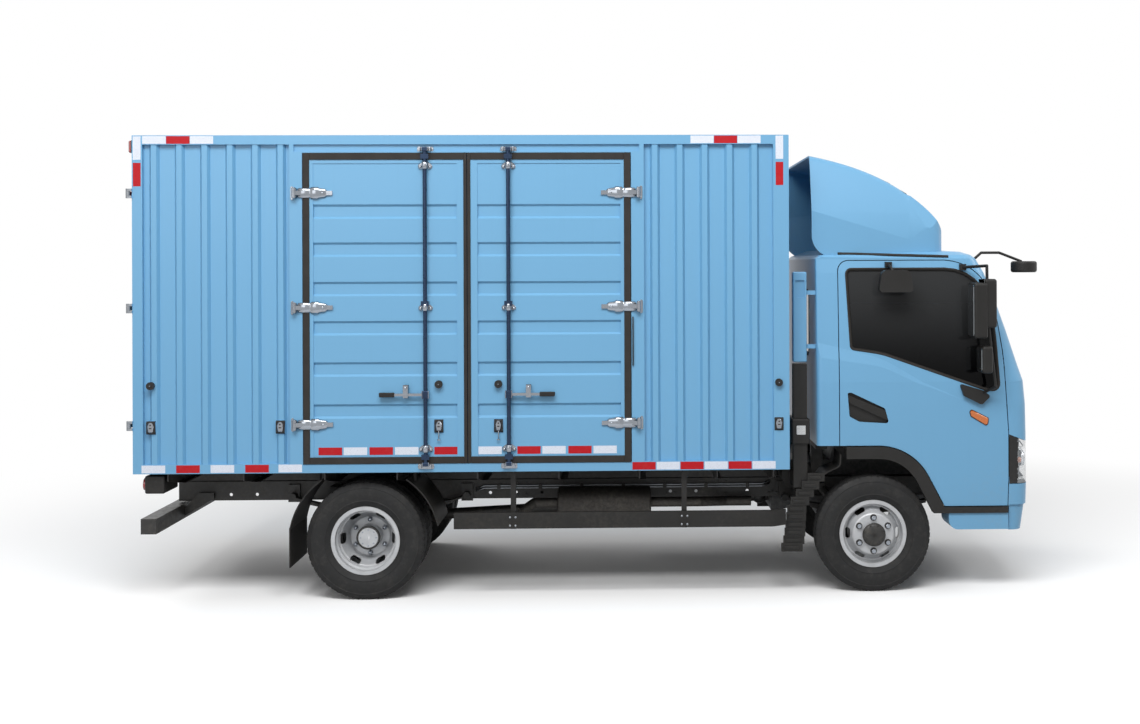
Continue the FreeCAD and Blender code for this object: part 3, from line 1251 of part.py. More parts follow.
def tail_lamps():
    """Lamp case under each rear corner of the box, with three round lenses and two brackets."""
    x = BOX_REAR_X + 62
    case = soft_block(x, x + 128, -1060, -760, 712, 829, 12)
    brackets = [block(x + 20, x + 100, y, y + 40, 820, BOX_BOTTOM_Z) for y in (-1000, -860)]
    lenses = [rod((x + 2, -1010 + k * 100, 770), (x - 14, -1010 + k * 100, 770), TAIL_LAMP_RADIUS)
              for k in range(3)]
    return pair(join([case] + brackets + lenses))


# Cab skin, lofted from the skirt to the roof

def station(height, reach, half_width, corner, bulge, rear=0):
    """One plan outline: reach is ahead of the front axle, rear is ahead of the rear wall."""
    return {"height": height, "reach": reach, "half_width": half_width, "corner": corner,
            "bulge": bulge, "rear": rear}


CAB_STATIONS = [
    station(CAB_SKIRT_Z, 1086, 946, 96, 70),
    station(CAB_SILL_Z, 1110, 958, 104, 70),
    station(LAMP_BOTTOM_Z, 1114, 960, 104, 70),
    station(LAMP_TOP_Z, 1110, 960, 104, 68),
    station(1248, 1104, 960, 104, 66),
    station(BELT_Z, 1086, 958, 104, 62),
    station(1503, 1050, 952, 104, 60),
    station(1740, 972, 936, 100, 58),
    station(1981, 888, 916, 96, 56),
    station(2130, 826, 902, 92, 54),
    station(ROOF_EDGE_Z, 770, 888, 88, 52),
]


def cab_section(s, inset, drop=0.0):
    """Closed plan outline of the cab at one station, moved inwards by inset and down by drop."""
    z = s["height"] - drop
    front = FRONT_AXLE_X + s["reach"] - inset
    rear = CAB_REAR_X + s["rear"] + inset
    half = s["half_width"] - inset
    corner = max(s["corner"] - inset, 24)
    rear_corner = max(CAB_REAR_CORNER - inset, 8)
    shoulder = front - s["bulge"]
    share = 1 - math.sqrt(0.5)

    def rounded(x, side, r, towards):
        """Quarter arc from the side wall to the end wall; towards is +1 at the front, -1 at the rear."""
        middle = vec(x - towards * share * r, side * (half - share * r), z)
        return [vec(x - towards * r, side * half, z), middle, vec(x, side * (half - r), z)]

    rear_right, rear_left = rounded(rear, -1, rear_corner, -1), rounded(rear, 1, rear_corner, -1)
    front_right, front_left = rounded(shoulder, -1, corner, 1), rounded(shoulder, 1, corner, 1)
    edges = [
        Part.makeLine(rear_left[2], rear_right[2]),
        Part.Arc(*rear_right[::-1]).toShape(),
        Part.makeLine(rear_right[0], front_right[0]),
        Part.Arc(*front_right).toShape(),
        Part.Arc(front_right[2], vec(front, 0, z), front_left[2]).toShape(),
        Part.Arc(*front_left[::-1]).toShape(),
        Part.makeLine(front_left[0], rear_left[0]),
        Part.Arc(*rear_left).toShape(),
    ]
    return Part.Wire(edges)


def roof_stations():
    top = CAB_STATIONS[-1]
    return [station(ROOF_EDGE_Z + rise, top["reach"] - draw, top["half_width"] - draw, top["corner"],
                    top["bulge"], min(draw, 120)) for rise, draw in ROOF_STEPS]


def belt_shave(inset):
    """What is taken off the right side above the belt crease, less and less towards the front."""
    near, far = CAB_REAR_X - 60, CAB_PANEL_X + 40
    outside = -CAB_HALF_WIDTH - 140

    def depth(x):
        return BELT_CREASE_DEPTH * (BELT_FADE_X - x) / (BELT_FADE_X - CAB_REAR_X)

    stations = [(s["height"], s["half_width"]) for s in CAB_STATIONS[4:]]
    stations.append((ROOF_TOP_Z + 40, CAB_STATIONS[-1]["half_width"]))
    wires = []
    for height, half_width in stations:
        half = half_width - inset
        plan = [(near, depth(near) - half), (far, depth(far) - half), (far, outside), (near, outside)]
        wires.append(outline_wire(plan, lambda x, y: vec(x, y, height)))
    slab = Part.makeLoft(wires, True, True)
    start = -CAB_HALF_WIDTH - 100
    width = 300
    line = [(c[0], c[1] - 100 * BELT_CREASE_SLOPE) + c[2:] for c in BELT_CREASE]
    above = Part.Face(side_wire(line + [(far, ROOF_TOP_Z + 60), (near, ROOF_TOP_Z + 60)], start + inset))
    return slab.common(above.extrude(vec(0, width, width * BELT_CREASE_SLOPE)))


def cab_envelope(inset):
    """Solid bounded by the cab skin, moved inwards by the inset."""
    body = [cab_section(s, inset) for s in CAB_STATIONS[:-1]] + [cab_section(CAB_STATIONS[-1], inset, inset)]
    roof = [cab_section(s, inset, inset) for s in roof_stations()]
    solid = join([Part.makeLoft(body, True, True), Part.makeLoft(roof, True, True)])
    shave = belt_shave(inset)
    return solid.cut(shave).cut(mirrored(shave))


def cab_layer(outer_inset, inner_inset):
    """Sheet between two depths below the cab skin."""
    return cab_envelope(outer_inset).cut(cab_envelope(inner_inset))


# Lines of the cab doors, the wheel arch and the windows

def arch_line(drop, foot_z):
    """The wheel arch from its rear end to its foot, moved towards the wheel by drop."""
    corner_x = ARCH_CORNER_X - drop * math.tan(ARCH_LEAN / 2)
    foot_x = ARCH_FOOT_X - drop / math.sin(ARCH_LEAN) + (CAB_SILL_Z - foot_z) / math.tan(ARCH_LEAN)
    high_z = CAB_FLOOR_Z - drop
    return [(ARCH_REAR_X, high_z), (corner_x, high_z, ARCH_RADIUS - drop), (foot_x, foot_z)]


def door_outline(grow):
    """Side view outline of a cab door, moved out by grow on every free edge."""
    x = REAR_AXLE_X
    return grown([
        (CAB_DOOR_REAR_X, CAB_FLOOR_Z), (ARCH_CORNER_X, CAB_FLOOR_Z, ARCH_RADIUS), (ARCH_FOOT_X, CAB_SILL_Z),
        (x + 4255, CAB_SILL_Z), (x + 4262, 760, 400), (x + 4262, 1060, 800), (x + 4230, 1575, 1500),
        (x + 4136, CAB_DOOR_TOP_Z, 350), (CAB_DOOR_REAR_X, CAB_DOOR_TOP_Z, 70),
    ], grow)


def window_outline():
    """Side view outline of a door window, its lower edge falling towards the front."""
    x = REAR_AXLE_X
    return [(x + 3186, 2158, 36), (x + 3214, 1624, 26), (x + 3420, 1592, 500), (x + 4112, 1348, 130),
            (x + 4206, 1342, 44), (x + 4178, 1740, 900), (x + 4105, 2158, 300)]


def side_cut(corners, depth):
    """Cutter through the right side of the cab skin."""
    return side_prism(corners, -CAB_HALF_WIDTH - 200, -CAB_HALF_WIDTH + depth)


def arch_cut(grow):
    """Room of the front wheels under the cab, over its full width."""
    rear = CAB_REAR_X - 100
    low_x = ARCH_FOOT_X + (CAB_SILL_Z - 200) / math.tan(ARCH_LEAN)
    room = [(rear, 200), (rear, CAB_FLOOR_Z), (ARCH_CORNER_X, CAB_FLOOR_Z, ARCH_RADIUS), (low_x, 200)]
    return side_prism(grown(room, grow), -CAB_HALF_WIDTH - 100, CAB_HALF_WIDTH + 100)


def tunnel(grow):
    """Room under the cab floor: a high tunnel over the engine and a low one over the frame rails."""
    wide, narrow = RAIL_ROOM_HALF_WIDTH + grow, TUNNEL_HALF_WIDTH + grow
    start = CAB_REAR_X - 100
    high = block(start, TUNNEL_FRONT_X + grow, -narrow, narrow, 200, TUNNEL_TOP_Z + grow)
    low = block(start, CAB_PANEL_X + 400, -wide, wide, 200, RAIL_ROOM_TOP_Z + grow)
    return high.fuse(low)


def across(x0, x1, z0, z1):
    """Block over more than the whole width of the cab."""
    return block(x0, x1, -CAB_HALF_WIDTH - 140, CAB_HALF_WIDTH + 140, z0, z1)


def cab_outer():
    body = cab_envelope(0).cut(arch_cut(0)).cut(tunnel(0))
    return body.common(across(CAB_REAR_X - 10, NOSE_X, CAB_SILL_Z, ROOF_TOP_Z + 10))


def cab_inner():
    """Room inside the cab."""
    room = cab_envelope(CAB_SHEET).cut(arch_cut(CAB_FLOOR_SHEET)).cut(tunnel(TUNNEL_SHEET))
    return room.common(across(CAB_REAR_X, NOSE_X, CAB_SILL_Z + CAB_FLOOR_SHEET + 6, ROOF_TOP_Z))


def windscreen_region():
    """Front view outline of the windscreen opening, swept along the length."""
    low, high = WINDSCREEN_LOW_Z, WINDSCREEN_HIGH_Z
    return cross_prism([(-830, low, 60), (830, low, 60), (790, high, 90), (-790, high, 90)],
                       FRONT_AXLE_X + 560, NOSE_X)


def rear_window_region():
    return cross_prism([(-520, 1560, 60), (520, 1560, 60), (520, 2010, 60), (-520, 2010, 60)],
                       CAB_REAR_X - 10, CAB_REAR_X + 70)


def front_region():
    """Everything of the skin ahead of the doors and below the windscreen."""
    return across(CAB_PANEL_X, NOSE_X, CAB_SKIRT_Z - 10, BELT_Z)


def lamp_region(grow):
    """Room of the right headlamp, its top edge falling towards the front."""
    low = LAMP_BOTTOM_Z + LAMP_AIR - 2 * grow
    top = LAMP_TOP_Z + grow
    fall = LAMP_TOP_SLOPE * (NOSE_X - CAB_PANEL_X)
    back = CAB_PANEL_X - grow
    return side_prism([(back, low), (NOSE_X, low), (NOSE_X, top - fall), (back, top)],
                      -CAB_HALF_WIDTH - 140, -LAMP_INNER_Y + grow)


# Cab body, doors and glass

def tilt_lugs():
    """Plates under the cab floor that turn on the pins of the frame."""
    r = LUG_RADIUS
    back, front = PIVOT_X - r, PIVOT_X + r
    root = RAIL_ROOM_TOP_Z + 10
    plate = side_prism([
        (back, PIVOT_Z - r, r - 1), (front, PIVOT_Z - r, r - 1), (front, root),
        (back - 30, root), (back - 30, root - 30), (back, PIVOT_Z + r),
    ], -LUG_OUTER_Y, -LUG_INNER_Y)
    return both_sides([plate.cut(cross_rod(PIVOT_X, -LUG_OUTER_Y - 1, -LUG_INNER_Y + 1, PIVOT_Z,
                                           PIVOT_PIN_RADIUS + PIVOT_PLAY))])


def cab_shell(skin):
    """Cab body in one piece: rear wall, roof, pillars, floor, wheel arches and engine tunnel."""
    side_layer = cab_layer(-1, CAB_SHEET + CAB_DOOR_GAP)
    opening = side_layer.common(side_cut(door_outline(CAB_DOOR_GAP), CAB_DOOR_REACH + CAB_DOOR_GAP))
    shell = skin.cut(front_region()).cut(opening).cut(mirrored(opening))
    shell = shell.cut(windscreen_region()).cut(rear_window_region())
    return join([shell] + tilt_lugs())


def door_grip():
    """Pull plate across the recess of the door handle."""
    x = REAR_AXLE_X
    outline = [(x + 3176, 1324, 10), (x + 3204, 1262, 8), (x + 3450, 1150, 8), (x + 3474, 1200, 10)]
    return side_prism(outline, -CAB_HALF_WIDTH + 3, -CAB_HALF_WIDTH + 12)


def cab_door_right():
    """Door as thick as the side wall, with its window opening and the recess and plate of its handle."""
    x = REAR_AXLE_X
    door = cab_layer(0, CAB_SHEET).common(side_cut(door_outline(0), CAB_DOOR_REACH))
    door = door.cut(side_cut(window_outline(), CAB_DOOR_REACH + 270))
    outline = [(x + 3186, 1334, 12), (x + 3212, 1334, 12), (x + 3436, 1228, 24),
               (x + 3463, 1128, 16), (x + 3262, 1140, 60), (x + 3198, 1176, 14)]
    recess = side_prism(outline, -CAB_HALF_WIDTH - 4, -CAB_HALF_WIDTH + 24)
    return join([door.cut(recess), door_grip().common(door)])


def cab_door_glass_right():
    sheet = cab_layer(GLASS_SET_BACK + 2, GLASS_SET_BACK + 2 + GLASS_THICKNESS)
    return sheet.common(side_cut(window_outline(), 200))


def cab_glass():
    """Windscreen and rear window."""
    sheet = cab_layer(GLASS_SET_BACK, GLASS_SET_BACK + GLASS_THICKNESS)
    opening = side_cut(door_outline(CAB_DOOR_GAP), CAB_DOOR_REACH + 270)
    screen = sheet.common(windscreen_region()).cut(opening).cut(mirrored(opening))
    return Part.makeCompound([screen, sheet.common(rear_window_region())])


# Cab front, steps and mouldings

def cab_front_panel(skin):
    panel = skin.common(front_region()).common(across(CAB_PANEL_X, NOSE_X, LAMP_BOTTOM_Z + 0.4, BELT_Z - 0.4))
    lamp = lamp_region(3)
    half = GRILLE_HALF_WIDTH
    grille_room = block(CAB_PANEL_X + 60, NOSE_X, -half, half, GRILLE_LOW_Z, GRILLE_HIGH_Z)
    return panel.cut(lamp).cut(mirrored(lamp)).cut(grille_room)


def grille():
    """Frame with lying bars and a middle post in the opening of the front panel."""
    half = GRILLE_HALF_WIDTH - 0.4
    frame = cab_layer(6, 30).common(block(CAB_PANEL_X + 40, NOSE_X, -half, half, GRILLE_LOW_Z + 0.4,
                                          GRILLE_HIGH_Z - 0.4))
    pitch = (GRILLE_HIGH_Z - GRILLE_LOW_Z - 24) / GRILLE_BARS
    gaps = []
    for k in range(GRILLE_BARS):
        low = GRILLE_LOW_Z + 24 + k * pitch
        gaps.append(block(CAB_PANEL_X, NOSE_X, -half + 26, -14, low, low + pitch - 20))
    return frame.cut(Part.makeCompound(both_sides(gaps)))


def headlamps():
    return pair(cab_layer(0, 46).common(lamp_region(0)))


def front_bumper():
    """Upper band flush with the cab, lower band set back, with an air slot and two round lamp recesses."""
    upper = cab_envelope(0).common(across(CAB_PANEL_X, NOSE_X, BUMPER_STEP_Z, LAMP_BOTTOM_Z))
    lower = cab_envelope(BUMPER_STEP).common(across(CAB_PANEL_X, NOSE_X, CAB_SKIRT_Z, BUMPER_STEP_Z))
    hollow = cab_envelope(BUMPER_SHEET).common(across(0, NOSE_X, CAB_SKIRT_Z - 5, LAMP_BOTTOM_Z - 30))
    slot = block(FRONT_AXLE_X + 1000, NOSE_X, -420, 420, 470, 556)
    y, z = -FOG_LAMP_Y, FOG_LAMP_Z
    rods = [rod((CAB_PANEL_X + 60, y, z), (NOSE_X, y, z), FOG_LAMP_RADIUS)]
    recess = cab_layer(-1, BUMPER_STEP + 16).common(Part.makeCompound(both_sides(rods)))
    return join([upper, lower]).cut(hollow).cut(slot).cut(recess)


def cab_steps():
    """Step box under each door, open towards the tread."""
    x0, x1 = REAR_AXLE_X + 3861.0, CAB_PANEL_X - 8
    outer, low, high = -CAB_HALF_WIDTH, 418, SILL_STRIP_LOW_Z - 0.4
    box = side_prism([(x0, high), (x0 + 4, low, 60), (x1, low), (x1, high)], outer, outer + 250)
    tread = block(x0 + 60, x1 - 30, outer + 30, outer + 230, low + 32, high + 32)
    return pair(box.cut(tread))


def arch_flares():
    """Moulding round each front wheel arch, running on as the sill strip under the door."""
    outer, inner = -CAB_HALF_WIDTH - FLARE_OUT, -CAB_HALF_WIDTH + CAB_SHEET + CAB_DOOR_GAP + 4
    end = REAR_AXLE_X + 4256
    high = arch_line(CAB_DOOR_GAP, CAB_SILL_Z - CAB_DOOR_GAP)
    low = arch_line(FLARE_WIDTH, SILL_STRIP_LOW_Z)
    strip_end = [(end, CAB_SILL_Z - CAB_DOOR_GAP), (end, SILL_STRIP_LOW_Z)]
    band = side_prism(high + strip_end + low[::-1], outer, inner)
    lip = side_prism(arch_line(SEAT_GAP, CAB_SILL_Z) + arch_line(FLARE_LIP, CAB_SILL_Z)[::-1], inner - 1,
                     -CAB_HALF_WIDTH + 150)
    return pair(join([band, lip]))


# Wind deflector

def deflector_solid(inset):
    """Form of the roof fairing, moved inwards by inset: side view, plan view and leaning flanks."""
    x = REAR_AXLE_X
    crown = [vec(x + px - 0.6 * inset, -900, pz - inset) for px, pz in DEFLECTOR_CROWN]
    curve = Part.BSplineCurve()
    curve.interpolate(crown)
    low = DEFLECTOR_LOW_Z
    front_foot = vec(crown[-1].x, -900, low)
    bend = DEFLECTOR_BEND
    rear_foot = vec(crown[0].x + bend, -900, low)
    rear_low = vec(crown[0].x, -900, low + bend)
    share = bend * (1 - math.sqrt(0.5))
    edges = [
        curve.toShape(), Part.makeLine(crown[-1], front_foot), Part.makeLine(front_foot, rear_foot),
        Part.Arc(rear_foot, vec(crown[0].x + share, -900, low + share), rear_low).toShape(),
        Part.makeLine(rear_low, crown[0]),
    ]
    body = Part.Face(Part.Wire(edges)).extrude(vec(0, 1800, 0))
    rear, front = x + DEFLECTOR_CROWN[0][0] - inset - 30, x + DEFLECTOR_CROWN[-1][0] - inset
    half, nose = DEFLECTOR_HALF_WIDTH - inset, DEFLECTOR_NOSE_HALF_WIDTH - inset
    plan = [(rear, -half), (front - 40, -nose, 120), (front, -nose + 230, 400), (front, nose - 230, 400),
            (front - 40, nose, 120), (rear, half)]
    body = body.common(plan_prism(plan, DEFLECTOR_LOW_Z - 40, 3000))
    flank = flank_cut(half, (half - nose) / (front - rear))
    return body.cut(flank).cut(mirrored(flank))


def flank_cut(half, taper):
    """Cutter that leans the right flank of the fairing inwards above its crease."""
    x0 = REAR_AXLE_X + DEFLECTOR_CROWN[0][0] - 60
    z0 = DEFLECTOR_CREASE_Z
    top = 3200
    lean = DEFLECTOR_LEAN * (top - z0)
    face = Part.Face(outline_wire([(-half, z0), (-half - 200, z0), (-half - 200, top), (-half + lean, top)],
                                  lambda y, z: vec(x0, y, z)))
    length = 1200
    return face.extrude(vec(length, taper * length, -DEFLECTOR_CREASE_FALL * length))


def wind_deflector():
    """Hollow fairing on the cab roof, open at the back and below."""
    room = deflector_solid(DEFLECTOR_SHEET)
    rear = REAR_AXLE_X + DEFLECTOR_CROWN[0][0]
    mouth = moved(room, x=-2 * DEFLECTOR_SHEET).common(across(rear - 100, rear + 100, DEFLECTOR_LOW_Z, 2915))
    return deflector_solid(0).cut(room).cut(mouth).cut(cab_envelope(-SEAT_GAP))


# Inside the cab

def seat(y0, y1, floor_z):
    """One seat: base, cushion, leaning back and head rest."""
    x, z = CAB_REAR_X, TUNNEL_TOP_Z + 60
    middle = (y0 + y1) / 2
    cushion = soft_block(x + 130, x + 600, y0, y1, z, z + CUSHION_HEIGHT, 28)
    back = side_prism([(x + 90, 1278, 20), (x + 200, 1278, 20), (x + 150, 1800, 24), (x + 66, 1800, 20)],
                      y0 + 20, y1 - 20)
    rest = soft_block(x + 68, x + 132, middle - 130, middle + 130, 1798, 1960, 20)
    base = block(x + 160, x + 560, y0 + 60, y1 - 60, floor_z, z + 1)
    return join([cushion, back, rest, base])


def seats():
    side_floor, middle_floor = CAB_FLOOR_Z + CAB_FLOOR_SHEET, TUNNEL_TOP_Z + TUNNEL_SHEET
    solids = []
    for y0, y1 in SEAT_SPANS_Y:
        over_tunnel = y0 < 0 < y1
        solids.append(seat(y0, y1, middle_floor if over_tunnel else side_floor))
    return Part.makeCompound(solids)


def dashboard():
    """Facia across the cab with the steering column and wheel on the left."""
    x = CAB_PANEL_X
    facia = side_prism([(x - 260, 1180), (x - 300, 1330), (x - 220, 1420), (x + 240, 1425), (x + 240, 1120),
                        (x - 120, 1120)], -880, 880)
    facia = facia.common(cab_envelope(CAB_SHEET + SEAT_GAP))
    centre = vec(x - 420, DRIVER_Y, 1440)
    axis = vec(-220, 0, 190)
    column = rod((x - 200, DRIVER_Y, 1250), (x - 420, DRIVER_Y, 1440), 26)
    wheel = Part.makeTorus(STEERING_RIM_RADIUS, STEERING_RIM_WIRE, centre, axis)
    hub = Part.makeCylinder(52, 30, vec(centre.x + 12, centre.y, centre.z - 10), axis)
    spoke = Part.makeBox(14, 400, 40, vec(-7, -200, -20))
    spoke.rotate(vec(0, 0, 0), vec(0, 1, 0), 40)
    spoke.translate(centre)
    return join([facia, column, wheel, hub, spoke])


# Mirrors

def door_mirror():
    """Tube on the right door with the main mirror, the wide view mirror and the lower mirror."""
    x, y = REAR_AXLE_X + 4120.0, -MIRROR_Y
    tube = bent_rod([(x - 150, -915, 2166), (x - 30, y, 2176), (x - 24, y, 1800), (x + 26, y, 1380),
                     (x - 30, -980, 1330)], MIRROR_TUBE_RADIUS)
    main = soft_block(x - 136, x - 44, y - 100, y + 100, 1702, 2064, MIRROR_EDGE)
    wide = soft_block(x - 64, x + 20, y - 80, y + 80, 1769, 2090, MIRROR_EDGE)
    small = soft_block(x - 82, x - 10, y - 90, y + 80, 1472, 1650, MIRROR_EDGE)
    clamp = block(x - 50, x - 12, y - 12, y + 12, 1560, 1600)
    foot_x = REAR_AXLE_X
    base = side_prism([(foot_x + 3933, 1393, 12), (foot_x + 3960, 1310, 20), (foot_x + 4079, 1250, 20),
                       (foot_x + 4139, 1308, 16), (foot_x + 4090, 1345, 30)], -990, -956)
    pad = block(x - 172, x - 128, -922, -880, 2146, 2188)
    return join([tube, main, wide, small, clamp, base, pad]).cut(cab_envelope(-SEAT_GAP))


def kerb_mirror():
    """Mirror over the window of the right door, looking down at the kerb."""
    x = REAR_AXLE_X + 3470.0
    arm = bent_rod([(x, -905, 2186), (x, -1000, 2170), (x + 10, -1020, 2140)], MIRROR_TUBE_RADIUS - 1)
    outline = [(x - 90, 2003, 26), (x + 144, 2003, 26), (x + 120, 2150, 40), (x - 66, 2150, 40)]
    head = side_prism(outline, -1064, -990)
    pad = block(x - 22, x + 22, -922, -880, 2168, 2204)
    return join([arm, head, pad]).cut(cab_envelope(-SEAT_GAP))


def front_view_mirror():
    """Arm from the right roof corner to the round mirror over the front."""
    x, y = REAR_AXLE_X + 4060.0, -790.0
    arm = bent_rod([(x - 20, y, 2190), (x + 64, y, 2264), (x + 186, y, 2264), (x + 340, y, 2204)],
                   MIRROR_TUBE_RADIUS - 1)
    head = rod((x + 355, y, 2130), (x + 355, y, 2206), 87)
    head = head.makeFillet(16, [head.Edges[0], head.Edges[2]])
    return join([arm, head]).cut(cab_envelope(-SEAT_GAP))


# Export

def write(name, shape):
    shape.exportStep(os.path.join("parts", name + ".step"))


def chassis_shapes():
    return {
        "frame_rails": frame_rails(),
        "frame_crossmembers": frame_crossmembers(),
        "side_guards": side_guards(),
        "rear_underrun": rear_underrun(),
        "rear_mudguards": rear_mudguards(),
        "front_mudguards": front_mudguards(),
        "fuel_tank": fuel_tank(),
        "battery_box": battery_box(),
        "exhaust": exhaust(),
        "air_cleaner": air_cleaner(),
        "engine_block": engine_block(),
        "drive_shaft": drive_shaft(),
        "rear_axle": rear_axle(),
        "front_axle": front_axle(),
        "leaf_springs": leaf_springs(),
        "shock_absorbers": shock_absorbers(),
        "tail_lamps": tail_lamps(),
    }


def box_shapes():
    return {
        "box_bearers": box_bearers(),
        "box_floor": box_floor(),
        "box_left_wall": box_left_wall(),
        "box_right_wall": box_right_wall(),
        "box_front_wall": box_front_wall(),
        "box_roof": box_roof(),
        "box_rear_frame": box_rear_frame(),
        "side_door_rear": side_door_rear(),
        "side_door_front": side_door_front(),
    }


def cab_shapes():
    skin = cab_outer().cut(cab_inner())
    return {
        "cab_shell": cab_shell(skin),
        "cab_glass": cab_glass(),
        "cab_front_panel": cab_front_panel(skin),
        "grille": grille(),
        "headlamps": headlamps(),
        "front_bumper": front_bumper(),
        "cab_steps": cab_steps(),
        "arch_flares": arch_flares(),
        "wind_deflector": wind_deflector(),
        "seats": seats(),
        "dashboard": dashboard(),
        "intake_snorkel": intake_snorkel(),
        "front_view_mirror": front_view_mirror(),
        "door_mirrors_right": Part.makeCompound([door_mirror(), kerb_mirror()]),
        "door_mirror_left": mirrored(door_mirror()),
    }


def mirrored_shapes():
    """Pieces that exist once on each side, drawn on the right."""
    right = {
        "cab_door": cab_door_right(),
        "cab_door_glass": cab_door_glass_right(),
        "rear_door": rear_door_right(),
        "front_knuckle": knuckle(),
        "front_wheel": front_wheel(-1),
        "front_tyre": front_tyre(-1),
        "rear_wheel": rear_wheels(-1),
        "rear_tyres": rear_tyres(-1),
    }
    shapes = {}
    for name, shape in right.items():
        shapes[name + "_right"] = shape
        shapes[name + "_left"] = mirrored(shape)
    return shapes


def build():
    os.makedirs("parts", exist_ok=True)
    for group in (chassis_shapes(), box_shapes(), cab_shapes(), mirrored_shapes()):
        for name, shape in group.items():
            write(name, shape)


build()
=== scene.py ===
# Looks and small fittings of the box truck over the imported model, with its light and camera
import math

import bmesh
import bpy
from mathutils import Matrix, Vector
from mathutils.bvhtree import BVHTree


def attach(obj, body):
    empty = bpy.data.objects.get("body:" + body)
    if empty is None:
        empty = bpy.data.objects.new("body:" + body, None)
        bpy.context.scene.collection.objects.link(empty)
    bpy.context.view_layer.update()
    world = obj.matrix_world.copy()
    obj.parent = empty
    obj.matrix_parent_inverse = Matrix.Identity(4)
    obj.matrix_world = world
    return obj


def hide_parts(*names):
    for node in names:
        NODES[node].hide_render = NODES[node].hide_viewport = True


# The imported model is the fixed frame. All lengths below are metres.
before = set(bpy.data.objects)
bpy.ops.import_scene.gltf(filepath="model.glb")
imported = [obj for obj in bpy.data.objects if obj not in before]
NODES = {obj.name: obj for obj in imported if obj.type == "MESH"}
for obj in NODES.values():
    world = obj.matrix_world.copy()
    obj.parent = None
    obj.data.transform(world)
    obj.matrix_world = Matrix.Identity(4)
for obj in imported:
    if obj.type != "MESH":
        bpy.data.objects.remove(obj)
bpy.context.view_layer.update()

# Shared places on the truck
WHEELBASE = 3.36
REAR_AXLE_X = -1.4915
FRONT_AXLE_X = REAR_AXLE_X + WHEELBASE
AXLE_Z = 0.387
BOX_REAR_X = REAR_AXLE_X - 1.480
BOX_SIDE_Y = 1.100
DOOR_FACE_Y = BOX_SIDE_Y - 0.005
SIDES = (("right", -1), ("left", 1))
RIGHT = Vector((0, -1, 0))


# Node tree helpers

